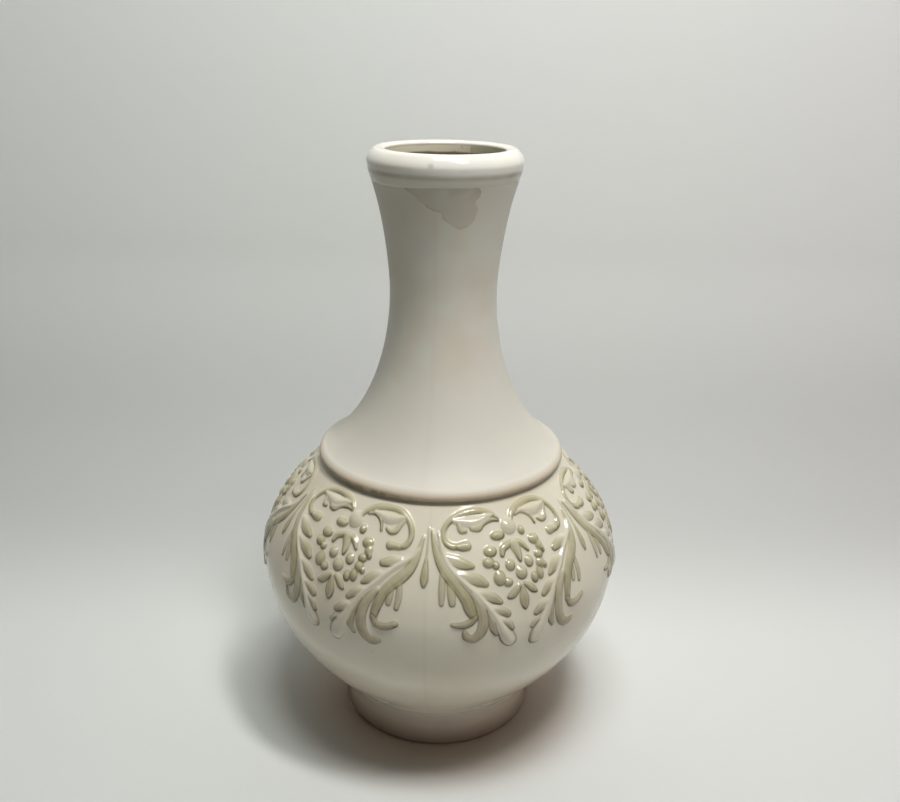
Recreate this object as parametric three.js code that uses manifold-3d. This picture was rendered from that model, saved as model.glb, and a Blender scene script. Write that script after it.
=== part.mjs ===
// A footed ceramic vase: a round belly on a foot ring, a bell-shaped neck whose skirt is luted over the
// belly's collar, a rolled lip, and six raised repeats of grapes, acanthus leaves and scrolls.
// Millimetres, +Z up, origin at the middle of the foot's resting face, front towards -Y.
import * as THREE from 'three';
import Module from 'manifold-3d';

const wasm = await Module();
wasm.setup();

// Joints between the clay pieces
const seatGap = 0.3;
const collarClearance = 0.4;
const turnSegments = 36;

// Foot ring
const footHeight = 21.7;
const footRadius = 55.3;
const footTaper = 0.9;
const footWall = 9;
const footEdge = 1.6;

// Belly
const bellyRadius = 100.6;
const bellyLowerRise = 80;
const bellyUpperRise = 57.7;
const bellyWall = 6;
const floorThickness = 7;
const floorRounding = 4;
const bossDepth = 7;
const bossClearance = 0.4;
const cornerClearance = 1;
const underOverhang = 3;
const underRounding = 4;
const underRise = 4.5;

// Shoulder seat and the collar that the neck is luted over
const seatRadius = 66.3;
const seatWidth = 6.3;
const seatThickness = 6.2;
const collarHeight = 4;
const collarWall = 4.6;

// Neck
const skirtOverhang = 0.4;
const skirtEdgeHeight = 8.6;
const skirtEdgeInset = 2.2;
const skirtEdgeTurn = 1.5;
const skirtBulgeBelow = 2.6;
const skirtBulgeAbove = 3.8;
const waistRadius = 28.5;
const waistRise = 93.7;
const throatRadius = 38.2;
const throatRise = 57.7;
const neckWall = 5.5;

// Rolled lip
const lipOverhang = 2;
const lipWidth = 9.3;
const lipHeight = 15;
const lipWidestRise = 6.5;
const lipInnerRise = 12;
const lipCrown = 5;

// Raised ornament: drawn flat, then laid on the shoulder in equal sectors. Turns are in degrees.
const repeats = 6;
const firstRepeatTurn = -34;
const ornamentDepth = 80;
const ribRise = 1.8;
const frondRise = 1.6;
const lobeRise = 1.5;
const fingerRise = 1.3;
const berryRise = 2.2;
const runnerRise = 1.2;
const layerStep = 0.12;
const budClearance = 1.6;
const drawingDepth = 80;

// Levels, from the dimensions above
const bellyBase = footHeight + seatGap;
const floorLevel = bellyBase + floorThickness;
const widestLevel = bellyBase + bellyLowerRise;
const shoulderBase = widestLevel + seatGap;
const seamLevel = widestLevel + bellyUpperRise;
const skirtBase = seamLevel + seatGap;
const waistLevel = skirtBase + waistRise;
const throatBase = waistLevel + seatGap;
const throatLevel = throatBase + throatRise;
const lipBase = throatLevel + seatGap;

// Radii, from the dimensions above
const footTopRadius = footRadius - footTaper;
const bossRadius = footTopRadius - footWall - bossClearance;
const underRadius = footTopRadius + underOverhang;
const skirtBore = seatRadius - seatWidth;
const collarRadius = skirtBore - collarClearance;
const collarBore = collarRadius - collarWall;
const skirtRadius = seatRadius + skirtOverhang;

function at(radius, level) {
  return new THREE.Vector2(radius, level);
}

// A free curve whose handles are shares of the span between its two ends
function bend(from, fromPull, toPull, to) {
  const span = to.clone().sub(from);
  const leaving = from.clone().add(span.clone().multiply(fromPull));
  const arriving = to.clone().sub(span.clone().multiply(toPull));
  return new THREE.CubicBezierCurve(from, leaving, arriving, to);
}

// The same upward outline one wall thickness further in
function inset(points, wall) {
  return points.map((point, i) => {
    const before = points[Math.max(i - 1, 0)];
    const after = points[Math.min(i + 1, points.length - 1)];
    const along = after.clone().sub(before).normalize();
    return at(point.x - along.y * wall, point.y + along.x * wall);
  });
}

// Level at which a falling run of points first reaches the given radius
function levelAtRadius(points, radius) {
  const i = points.findIndex((point) => point.x >= radius);
  if (i < 1) {
    return points[points.length - 1].y;
  }
  const share = (radius - points[i - 1].x) / (points[i].x - points[i - 1].x);
  return THREE.MathUtils.lerp(points[i - 1].y, points[i].y, share);
}

// Turns an outline of radius and level about the Z axis
function turned(outline) {
  const geometry = new THREE.LatheGeometry(outline, turnSegments);
  geometry.rotateX(Math.PI / 2);
  return geometry;
}

// Belly outline in three free curves, each running upward
const underCurve = bend(at(underRadius, bellyBase), at(0.55, 0), at(0.3, 0.55),
  at(underRadius + underRounding, bellyBase + underRise));
const lowerCurve = bend(underCurve.v3, at(0.135, 0.11), at(0, 0.565), at(bellyRadius, widestLevel));
const upperCurve = bend(at(bellyRadius, shoulderBase), at(0, 0.525), at(0, 0.05), at(seatRadius, seamLevel));

function footRing() {
  const bore = footRadius - footWall;
  const edgeRounding = new THREE.QuadraticBezierCurve(
    at(footRadius - footEdge, 0), at(footRadius, 0), at(footRadius, footEdge));
  return turned([
    at(bore, 0),
    at(footRadius - footEdge, 0),
    ...edgeRounding.getPoints(2).slice(1, 2),
    at(footRadius, footEdge),
    at(footTopRadius, footHeight),
    at(footTopRadius - footWall, footHeight),
    at(bore, 0),
  ]);
}

// The bowl: the lower half of the belly, with its floor and the boss that locates it in the foot ring
function bellyBowl() {
  const inside = inset(lowerCurve.getPoints(6), bellyWall)
    .filter((point) => point.y > floorLevel + cornerClearance)
    .slice(0, -1)
    .reverse();
  const lowest = inside[inside.length - 1];
  return turned([
    at(0, bellyBase - bossDepth),
    at(bossRadius, bellyBase - bossDepth),
    at(bossRadius, bellyBase),
    ...underCurve.getPoints(3),
    ...lowerCurve.getPoints(8).slice(1),
    at(bellyRadius - bellyWall, widestLevel),
    ...inside,
    at(lowest.x - floorRounding, floorLevel),
    at(0, floorLevel),
  ]);
}

// The shoulder: the upper half of the belly, with the seat and the collar for the neck
function bellyShoulder() {
  const flangeLevel = seamLevel - seatThickness;
  const inside = inset(upperCurve.getPoints(6), bellyWall)
    .filter((point) => point.y < flangeLevel - cornerClearance)
    .slice(1)
    .reverse();
  return turned([
    at(bellyRadius - bellyWall, shoulderBase),
    ...upperCurve.getPoints(8),
    at(collarRadius, seamLevel),
    at(collarRadius, seamLevel + collarHeight),
    at(collarBore, seamLevel + collarHeight),
    at(collarBore, flangeLevel),
    ...inside,
    at(bellyRadius - bellyWall, shoulderBase),
  ]);
}

// The bell: the lower half of the neck, from the skirt that hides the seam up to the waist
function neckBell() {
  const edgeTop = at(skirtRadius - skirtEdgeInset, skirtBase + skirtEdgeHeight);
  const edge = new THREE.CubicBezierCurve(
    at(skirtRadius, skirtBase),
    at(skirtRadius + skirtBulgeBelow, skirtBase + skirtEdgeTurn),
    at(edgeTop.x + skirtBulgeAbove, edgeTop.y - skirtEdgeTurn),
    edgeTop);
  const flare = bend(edgeTop, at(0.53, 0.1), at(0, 0.48), at(waistRadius, waistLevel));
  const falling = inset(flare.getPoints(7), neckWall).reverse();
  return turned([
    at(skirtBore, skirtBase),
    ...edge.getPoints(4),
    ...flare.getPoints(9).slice(1),
    ...falling.filter((point) => point.x < skirtBore),
    at(skirtBore, levelAtRadius(falling, skirtBore)),
    at(skirtBore, skirtBase),
  ]);
}

// The throat: the upper half of the neck, from the waist up to the lip
function neckThroat() {
  const throat = bend(at(waistRadius, throatBase), at(0, 0.13), at(0.75, 0.37), at(throatRadius, throatLevel));
  const falling = inset(throat.getPoints(4), neckWall).reverse();
  return turned([
    ...throat.getPoints(5),
    at(throatRadius - neckWall, throatLevel),
    ...falling.slice(1, -1),
    at(waistRadius - neckWall, throatBase),
    at(waistRadius, throatBase),
  ]);
}

function lipRoll() {
  const outer = throatRadius + lipOverhang;
  const inner = outer - lipWidth;
  const crown = at(outer - lipCrown, lipBase + lipHeight);
  const widest = at(outer, lipBase + lipWidestRise);
  const innermost = at(inner, lipBase + lipInnerRise);
  const rounding = 0.55;
  const rise = bend(at(throatRadius, lipBase), at(0.5, 0.4), at(0, 0.4), widest);
  const outerCrown = bend(widest, at(0, rounding), at(rounding, 0), crown);
  const innerCrown = bend(crown, at(rounding, 0), at(0, rounding), innermost);
  const fall = bend(innermost, at(0, 0.5), at(0.4, 0.2), at(throatRadius - neckWall, lipBase));
  return turned([
    ...rise.getPoints(2),
    ...outerCrown.getPoints(3).slice(1),
    ...innerCrown.getPoints(3).slice(1),
    ...fall.getPoints(2).slice(1),
    at(throatRadius, lipBase),
  ]);
}

// The outer face of the belly from the seam downward, by distance along it
const shoulderPath = new THREE.CurvePath();
shoulderPath.add(new THREE.CubicBezierCurve(upperCurve.v3, upperCurve.v2, upperCurve.v1, upperCurve.v0));
shoulderPath.add(new THREE.CubicBezierCurve(lowerCurve.v3, lowerCurve.v2, lowerCurve.v1, lowerCurve.v0));

// Lays a point of the flat drawing on the belly, lifted off the clay along its normal
function onBelly(across, down, lift) {
  const turn = (across / drawingWidth) * ((2 * Math.PI) / repeats);
  const share = ((down / drawingDepth) * ornamentDepth) / shoulderPath.getLength();
  const place = shoulderPath.getPoint(share);
  const along = shoulderPath.getTangent(share);
  const radius = place.x - along.y * (lift + seatGap);
  const level = place.y + along.x * (lift + seatGap);
  return new THREE.Vector3(radius * Math.sin(turn), -radius * Math.cos(turn), level);
}

// A closed solid through rings of points, each ring with the same count
function loft(rings) {
  const count = rings[0].length;
  const last = (rings.length - 1) * count;
  const triangles = [];
  for (let i = 0; i < rings.length - 1; i += 1) {
    for (let k = 0; k < count; k += 1) {
      const here = i * count + k;
      const beside = i * count + ((k + 1) % count);
      triangles.push(here, beside, beside + count, here, beside + count, here + count);
    }
  }
  for (let k = 1; k < count - 1; k += 1) {
    triangles.push(0, k + 1, k, last, last + k, last + k + 1);
  }
  const places = rings.flat().map(([across, down, lift]) => onBelly(across, down, lift));
  return new wasm.Manifold(new wasm.Mesh({
    numProp: 3,
    vertProperties: new Float32Array(places.flatMap((place) => place.toArray())),
    triVerts: new Uint32Array(triangles),
  }));
}

// A raised band through stations of [across, down, half width]
function band(stations, rise, layer) {
  const section = [[1, 0], [-1, 0], [0, 1]];
  const foot = layer * layerStep;
  const rings = stations.map(([across, down, half], i) => {
    const before = stations[Math.max(i - 1, 0)];
    const after = stations[Math.min(i + 1, stations.length - 1)];
    const along = at(after[0] - before[0], after[1] - before[1]).normalize();
    return section.map(([side, up]) => [
      across - along.y * side * half,
      down + along.x * side * half,
      foot + up * (rise - foot),
    ]);
  });
  return loft(rings);
}

// A raised dome at [across, down, half width, half height]
function dome([across, down, halfAcross, halfDown], rise, layer) {
  const sides = 6;
  const foot = layer * layerStep;
  const crownShare = 0.7;
  const rings = [[1, foot], [crownShare, rise]].map(([share, lift]) =>
    Array.from({ length: sides }, (_, k) => {
      const angle = (-2 * Math.PI * k) / sides;
      return [
        across + halfAcross * share * Math.cos(angle),
        down + halfDown * share * Math.sin(angle),
        lift,
      ];
    }));
  return loft(rings);
}

function joined(solids) {
  return solids.reduce((whole, solid) => whole.add(solid));
}

function mirrored(stations) {
  return stations.map(([across, ...rest]) => [-across, ...rest]);
}

// Left leaf: a midrib, lobes towards the grapes, and an outer frond that ends in hooks
const leafRib = [[-45.5, 20.5, 0.9], [-42, 28, 1.3], [-36.5, 35.5, 1.4], [-28.3, 43.2, 1.5],
  [-21, 51.2, 1.6], [-15.4, 60, 1.9], [-11, 68, 2.3], [-7.6, 75, 2.5], [-6.5, 78, 1.3]];
const innerLobes = [
  [[-41, 29.2, 0.8], [-33.2, 31, 2.4], [-26.5, 32.8, 1.5]],
  [[-33, 38.9, 0.8], [-25.6, 41.4, 2.4], [-19.6, 43.2, 1.5]],
  [[-25.2, 46.8, 0.8], [-18.4, 49.8, 2.2], [-13.2, 52, 1.4]],
  [[-18.8, 54.8, 0.8], [-12.8, 57.8, 2], [-8.6, 59.8, 1.3]],
  [[-13.8, 63, 0.8], [-9.4, 65, 1.6], [-6.2, 66.5, 1.1]],
];
const outerFrond = [[-50, 12.5, 0.6], [-49.4, 20, 1.5], [-46.6, 28.4, 3.4], [-41.2, 35.2, 4.2],
  [-36.2, 42.8, 3.2], [-32.2, 49, 2.2], [-31.2, 54.6, 1.9], [-33.8, 59.3, 1.9], [-38.8, 61, 1.4]];
const lowerHook = [[-29.5, 45.2, 1.2], [-26, 52, 2.2], [-23.2, 58.6, 2.4], [-23.3, 65, 2.3],
  [-26.5, 70, 2], [-30.8, 71.2, 1.6], [-33, 67.8, 1.1]];
const fingers = [
  [[-43.2, 37.4, 1.2], [-44.3, 45, 1.7], [-44, 51, 0.9]],
  [[-39.4, 42.5, 1.4], [-39.6, 48.2, 2], [-39.2, 53, 1.2]],
  [[-19.6, 56.5, 1.1], [-19, 62.5, 1.8], [-16.4, 69, 1.5]],
];

// Left scroll: a band that curls round to a ball, and a fuller body with two hooks inside it
const scrollBand = [[-32.4, 23.2, 1.6], [-38.4, 23, 1.9], [-42.7, 18.6, 1.8], [-43.6, 12.8, 1.8],
  [-39.4, 7.4, 1.8], [-31.8, 4.6, 1.8], [-22.5, 4.2, 1.8], [-13.6, 5.8, 1.8], [-8, 8.6, 1.5],
  [-5.2, 11.2, 0.8]];
const scrollBody = [[-36.5, 10.6, 1.6], [-29.5, 9.6, 3.2], [-21.5, 9.9, 4.1], [-13.5, 9.2, 3],
  [-8, 9.8, 1.4]];
const scrollHooks = [
  [[-31.4, 11.5, 1.6], [-32.4, 14.9, 1.3]],
  [[-22.3, 12.5, 2.6], [-21.2, 17, 1.2]],
];
const scrollBall = [-31.6, 23, 2.7, 2.7];

// Grape cluster: a round berry on top, a three-armed leaf, berries round it, three petals below,
// and low runners of clay that hold them together
const berries = [
  [0.4, 15.3, 4.6, 4.4], [-8.6, 19.3, 3.1, 2.4], [8.6, 19.1, 2.2, 2.4], [-15.8, 26.2, 3.1, 2.9],
  [-15.8, 33.2, 4.4, 2.8], [-10.4, 41.4, 4.4, 3.3], [-5.4, 34.8, 2.7, 2.7], [6.4, 34.8, 2.1, 2.9],
  [0.5, 39.4, 2.8, 3.3], [15.2, 26.6, 2.9, 4.5], [14.2, 33.4, 2.5, 2.4], [12.8, 40.2, 2.6, 4.1],
  [7.8, 43.4, 1.9, 2.5],
];
const clusterLeaf = [
  [[-8.8, 30, 1.3], [-7.4, 26, 2.1], [-3, 23.8, 2.2], [2.4, 24.2, 2.2], [6.6, 26.6, 1.9], [8.6, 29.4, 1.1]],
  [[-0.8, 25.5, 2.6], [0.4, 30, 2.5], [0.6, 33.8, 1.2]],
];
const petals = [
  [[-1, 45.6, 1.2], [-5, 48, 1.7], [-7.8, 50.6, 1.3]],
  [[0.4, 45, 1.2], [0.6, 52, 2.3], [0.8, 57.4, 0.9]],
  [[1.6, 45.2, 1.2], [5.4, 47.4, 1.7], [8.4, 49.4, 1.2]],
];
const runners = [
  [[0.4, 16, 1.2], [0.5, 26, 1.2]],
  [[-8, 19.6, 1.2], [-6.6, 25.6, 1.2]],
  [[8, 19.6, 1.2], [5.6, 25.8, 1.2]],
  [[-15.4, 26.6, 1.2], [-15, 33.2, 1.2], [-9.6, 41.6, 1.2], [0, 46.4, 1.2]],
  [[14.8, 27, 1.2], [13.6, 34, 1.2], [11.8, 40.6, 1.2], [1, 46.4, 1.2]],
  [[0.4, 33, 1.2], [0.5, 46.4, 1.2]],
  [[-5.4, 34.8, 1.2], [6.4, 34.8, 1.2]],
];

// Width of one repeat in the flat drawing: its outer fronds, and room for half a bud beyond each
const frondReach = Math.max(...outerFrond.map(([across, , half]) => half - across));
const drawingWidth = 2 * (frondReach + budClearance);

// Drop bud on the line between two repeats: a thin stem and a pointed bud
const dropBud = [[0, 13, 0.5], [0, 21, 0.6], [-0.2, 29, 1.2], [-0.4, 35.5, 2.2], [-0.8, 41.5, 0.7]];

function leaf(side) {
  return joined([
    band(side(leafRib), ribRise, 0),
    ...innerLobes.map((lobe, i) => band(side(lobe), lobeRise, 1 + (i % 2))),
    band(side(outerFrond), frondRise, 1),
    band(side(lowerHook), lobeRise, 2),
    ...fingers.map((finger) => band(side(finger), fingerRise, 2)),
  ]);
}

function scroll(side) {
  return joined([
    band(side(scrollBand), lobeRise, 0),
    band(side(scrollBody), ribRise, 1),
    ...scrollHooks.map((hook) => band(side(hook), lobeRise, 2)),
    dome(side([scrollBall])[0], berryRise, 1),
  ]);
}

function grapeCluster() {
  return joined([
    ...runners.map((runner) => band(runner, runnerRise, 2)),
    ...berries.map((berry) => dome(berry, berryRise, 1)),
    ...clusterLeaf.map((arm, i) => band(arm, ribRise, 1 + i)),
    ...petals.map((petal) => band(petal, ribRise, 1)),
  ]);
}

function geometryOf(solid) {
  const mesh = solid.getMesh();
  const geometry = new THREE.BufferGeometry();
  geometry.setAttribute('position', new THREE.BufferAttribute(new Float32Array(mesh.vertProperties), 3));
  geometry.setIndex(new THREE.BufferAttribute(new Uint32Array(mesh.triVerts), 1));
  return geometry;
}

const vase = new THREE.Group();

function addPiece(name, geometry, color, roughness, turn = 0) {
  const material = new THREE.MeshStandardMaterial({ color, roughness, metalness: 0 });
  const piece = new THREE.Mesh(geometry, material);
  piece.name = name;
  piece.rotation.z = turn;
  vase.add(piece);
}

addPiece('foot_ring', footRing(), '#d9d4c4', 0.3);
addPiece('belly_bowl', bellyBowl(), '#e3ddd0', 0.18);
addPiece('belly_shoulder', bellyShoulder(), '#e6e1d4', 0.18);
addPiece('neck_bell', neckBell(), '#e4e0d5', 0.2);
addPiece('neck_throat', neckThroat(), '#dcd7cc', 0.2);
addPiece('lip_roll', lipRoll(), '#e9e6da', 0.16);

// Each sprig of the ornament, made once and laid down in every sector
const sprigs = [
  { name: 'grape_cluster', solid: grapeCluster(), color: '#b9b48f', roughness: 0.22, shift: 0 },
  { name: 'leaf_left', solid: leaf((stations) => stations), color: '#c6c1a0', roughness: 0.22, shift: 0 },
  { name: 'leaf_right', solid: leaf(mirrored), color: '#c5c09f', roughness: 0.22, shift: 0 },
  { name: 'scroll_left', solid: scroll((stations) => stations), color: '#d2ceb2', roughness: 0.2, shift: 0 },
  { name: 'scroll_right', solid: scroll(mirrored), color: '#d1cdb1', roughness: 0.2, shift: 0 },
  { name: 'drop_bud', solid: band(dropBud, ribRise, 0), color: '#b4ac84', roughness: 0.24, shift: 0.5 },
];

for (const sprig of sprigs) {
  const geometry = geometryOf(sprig.solid);
  for (let i = 0; i < repeats; i += 1) {
    const turn = THREE.MathUtils.degToRad(firstRepeatTurn) + ((i + sprig.shift) * 2 * Math.PI) / repeats;
    addPiece(`${sprig.name}_${i + 1}`, geometry, sprig.color, sprig.roughness, turn);
  }
}

export default vase;
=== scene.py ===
"""A footed ceramic vase: round belly, bell neck, rolled lip, and grapes and acanthus in relief.

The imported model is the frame. This script lays the fine glazed surfaces over it and dresses them, and adds
the studio and the camera. Sizes in the sub-assemblies are millimetres; meshes are in metres.
"""

import logging
import math
from dataclasses import dataclass, field
from enum import Enum

import bpy
import numpy as np
from mathutils import Matrix, Vector


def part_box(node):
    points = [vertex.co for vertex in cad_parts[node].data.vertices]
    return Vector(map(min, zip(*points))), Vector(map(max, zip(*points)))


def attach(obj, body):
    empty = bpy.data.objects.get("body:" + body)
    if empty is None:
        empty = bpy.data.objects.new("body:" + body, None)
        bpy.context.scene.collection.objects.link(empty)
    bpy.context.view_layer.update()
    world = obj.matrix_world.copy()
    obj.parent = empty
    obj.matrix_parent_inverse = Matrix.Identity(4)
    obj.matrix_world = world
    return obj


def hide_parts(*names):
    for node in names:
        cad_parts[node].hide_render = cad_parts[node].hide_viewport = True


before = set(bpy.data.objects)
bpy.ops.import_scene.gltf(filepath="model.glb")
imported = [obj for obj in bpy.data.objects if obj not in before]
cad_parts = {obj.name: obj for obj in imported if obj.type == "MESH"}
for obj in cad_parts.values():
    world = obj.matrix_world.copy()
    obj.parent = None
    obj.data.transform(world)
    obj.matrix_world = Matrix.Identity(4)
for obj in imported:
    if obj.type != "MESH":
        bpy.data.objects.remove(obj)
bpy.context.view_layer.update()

LOG = logging.getLogger("vase")
MM = 0.001
BODY = "root"
REPEATS = 6
FIRST_TURN = -34.0
WELD = 2e-6
PINHOLE_SHARE = 0.2
KEPT_MAPS = ("wash", "rim", "halo")
SPRIGS = ("grape_cluster", "leaf_left", "leaf_right", "scroll_left", "scroll_right", "drop_bud")

Colour = tuple[float, float, float]
Place = tuple[float, float, float]
Point = tuple[float, float]
Station = tuple[float, float, float]
Run = tuple[Station, ...]
Socket = bpy.types.NodeSocket


def extent(node: str) -> tuple[float, float, float, float]:
    """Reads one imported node's reach.

    Args:
        node: The node's name.

    Returns:
        Its radius along X, its radius along Y, and its lowest and highest level, in millimetres.
    """
    low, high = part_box(node)
    return high.x / MM, high.y / MM, low.z / MM, high.z / MM


def curve(poles: list, count: int) -> np.ndarray:
    """Follows the free curve with four given poles, in a number of steps."""
    a, b, c, d = (np.array(pole, float) for pole in poles)
    t = np.linspace(0.0, 1.0, count + 1)[:, None]
    return (1 - t) ** 3 * a + 3 * (1 - t) ** 2 * t * b + 3 * (1 - t) * t * t * c + t**3 * d


def bend(start: Point, leave: Point, arrive: Point, end: Point, count: int) -> np.ndarray:
    """Makes a free curve whose handles are shares of the span between its two ends.

    Args:
        start: First radius and level.
        leave: Shares of the span for the handle at the start.
        arrive: Shares of the span for the handle at the end.
        end: Last radius and level.
        count: Number of steps along the curve.

    Returns:
        The curve's points, one row each.
    """
    first, last = np.array(start, float), np.array(end, float)
    reach = last - first
    return curve([first, first + reach * np.array(leave), last - reach * np.array(arrive), last], count)


def inset(points: np.ndarray, wall: float) -> np.ndarray:
    """Moves an upward outline in by a wall thickness, square to itself."""
    along = np.gradient(points, axis=0)
    along /= np.linalg.norm(along, axis=1)[:, None]
    return points + np.stack([-along[:, 1], along[:, 0]], axis=1) * wall


def smooth_step(value: np.ndarray, low: float, high: float) -> np.ndarray:
    """Eases from 0 at low to 1 at high; low may be the larger."""
    t = np.clip((value - low) / (high - low), 0.0, 1.0)
    return t * t * (3 - 2 * t)


@dataclass(frozen=True)
class VaseSizes:
    """The vase's outline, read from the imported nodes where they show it."""

    foot_reach: float = extent("foot_ring")[0]
    foot_height: float = extent("foot_ring")[3]
    foot_taper: float = 0.9
    foot_wall: float = 9.0
    foot_edge: float = 1.6
    foot_shoulder: float = 13.0
    belly_reach: float = extent("belly_bowl")[0]
    belly_boss: float = extent("belly_bowl")[2]
    collar_top: float = extent("belly_shoulder")[3]
    widest_level: float = 102.0
    under_start: Point = (55.6, 19.4)
    under_end: Point = (61.4, 26.5)
    seat_reach: float = 66.3
    seat_level: float = 159.7
    belly_wall: float = 6.0
    skirt_bore: float = 60.0
    skirt_reach: float = 66.7
    skirt_level: float = extent("neck_bell")[2]
    skirt_edge: float = 6.6
    skirt_under: float = 8.6
    skirt_inset: float = 2.2
    skirt_turn: float = 1.5
    skirt_below: float = 2.6
    skirt_above: float = 3.8
    waist_reach: float = 28.5
    waist_level: float = extent("neck_bell")[3]
    throat_reach: float = 38.2
    throat_level: float = extent("neck_throat")[3]
    neck_wall: float = 5.5
    lip_reach: float = extent("lip_roll")[0]
    lip_level: float = extent("lip_roll")[2]
    lip_top: float = extent("lip_roll")[3]
    lip_width: float = 9.3
    lip_widest_rise: float = 8.6
    lip_inner_rise: float = 13.4
    lip_crown: float = 5.0

    def lower_belly(self, count: int) -> np.ndarray:
        """The belly's outline from the flare above the foot up to its widest level."""
        widest = (self.belly_reach, self.widest_level)
        return bend(self.under_end, (0.135, 0.11), (0, 0.565), widest, count)

    def upper_belly(self, count: int) -> np.ndarray:
        """The belly's outline from its widest level up to the neck's seat."""
        widest = (self.belly_reach, self.widest_level)
        return bend(widest, (0, 0.525), (0, 0.05), (self.seat_reach, self.seat_level), count)

    def under_belly(self, count: int) -> np.ndarray:
        """The hollow under the belly, from the foot out to the flare."""
        return bend(self.under_start, (0.06, 0.42), (0.42, 0.36), self.under_end, count)

    def skirt(self, count: int) -> np.ndarray:
        """The rounded edge of the neck's skirt, upward."""
        low, top = self.skirt_level, self.skirt_level + self.skirt_edge
        shoulder = self.skirt_reach - self.skirt_inset
        return curve([
            (self.skirt_reach, low), (self.skirt_reach + self.skirt_below, low + self.skirt_turn),
            (shoulder + self.skirt_above, top - self.skirt_turn), (shoulder, top)], count)

    def flare(self, count: int) -> np.ndarray:
        """The bell from the skirt's edge up to the waist."""
        start = (self.skirt_reach - self.skirt_inset, self.skirt_level + self.skirt_edge)
        return bend(start, (0.53, 0.13), (0, 0.48), (self.waist_reach, self.waist_level), count)

    def flare_under(self, count: int) -> np.ndarray:
        """The curve that the bell's inside follows, a little higher at the skirt."""
        start = (self.skirt_reach - self.skirt_inset, self.skirt_level + self.skirt_under)
        return bend(start, (0.53, 0.1), (0, 0.48), (self.waist_reach, self.waist_level), count)

    def throat(self, count: int) -> np.ndarray:
        """The neck from its waist up to the lip."""
        waist = (self.waist_reach, self.waist_level)
        return bend(waist, (0, 0.13), (0.75, 0.37), (self.throat_reach, self.throat_level), count)

    def neck_radius(self, level: float) -> float:
        """The neck's outer radius at a level."""
        run = np.concatenate([self.flare(60), self.throat(60)[1:]])
        return float(np.interp(level, run[:, 1], run[:, 0]))


class Side(Enum):
    """The side of a repeat that a leaf or scroll lies on."""

    LEFT = "left"
    RIGHT = "right"


@dataclass(frozen=True)
class Stroke:
    """One stroke of raised clay in the flat drawing of a repeat.

    Attributes:
        run: Stations of across, down and half width, in millimetres.
        rise: How far the stroke stands off the belly.
        bare: How bare of stain the stroke is where it starts, from 0, olive, to 1, white.
        bare_end: How bare it is where it ends.
        veins: How many grooves run along it.
    """

    run: Run
    rise: float
    bare: float = 0.0
    bare_end: float = 0.0
    veins: int = 0

    def beads(self, step: float) -> np.ndarray:
        """Places overlapping beads along the run, with a smooth curve through its stations."""
        knots = np.array(self.run, float)
        reach = np.concatenate([[0.0], np.cumsum(np.hypot(*np.diff(knots[:, :2], axis=0).T))])
        count = max(int(reach[-1] / step), 2)
        s = np.linspace(0.0, reach[-1], count)
        slope = np.gradient(knots, reach, axis=0)
        i = np.clip(np.searchsorted(reach, s, side="right") - 1, 0, len(knots) - 2)
        gap = reach[i + 1] - reach[i]
        t = ((s - reach[i]) / gap)[:, None]
        gap = gap[:, None]
        return (
            (2 * t**3 - 3 * t**2 + 1) * knots[i]
            + (t**3 - 2 * t**2 + t) * gap * slope[i]
            + (3 * t**2 - 2 * t**3) * knots[i + 1]
            + (t**3 - t**2) * gap * slope[i + 1]
        )


@dataclass(frozen=True)
class Berry:
    """One round berry in the flat drawing of a repeat, with its middle, half widths, rise and bareness."""

    across: float
    down: float
    half_across: float
    half_down: float
    rise: float = 2.1
    bare: float = 0.0


@dataclass(frozen=True)
class LeafDrawing:
    """An acanthus leaf: a white midrib, lobes towards the grapes and an outer frond that ends in hooks.

    Attributes:
        frond: Stations of the outer frond.
        hook: Stations of the hook that the frond ends in.
        curl: Stations of the lower curl.
        inner: Stations of the short blade beside the tip.
        fingers: Stations of the small blades outside the frond.
        lobes: Stations of the lobes towards the grapes.
        tip: Stations of the stained edge round the leaf's tip.
        rib: Stations of the white midrib.
        rib_swell: How much wider the glaze makes the midrib.
    """

    frond: Run
    hook: Run
    curl: Run
    inner: Run
    fingers: tuple[Run, ...]
    lobes: tuple[Run, ...]
    tip: Run
    rib: Run
    rib_swell: float = 1.2

    def strokes(self) -> list[Stroke]:
        """Lists the strokes, the ones that lie on top last."""
        rib = tuple((across, down, half * self.rib_swell) for across, down, half in self.rib)
        return [
            *(Stroke(run, 1.1, 0.35, 0.3, 1) for run in self.fingers),
            Stroke(self.inner, 1.3, 0.1, 0.05, 1),
            Stroke(self.curl, 1.6, 0.3, 0.0, 2),
            Stroke(self.frond, 1.7, 0.3, 0.0, 2),
            Stroke(self.hook, 1.6, 0.0, 0.1, 1),
            *(Stroke(run, 1.6, 0.85, 0.0, 1) for run in self.lobes),
            Stroke(self.tip, 1.2, 0.15, 0.0),
            Stroke(rib, 2.0, 1.0, 1.0),
        ]


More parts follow.
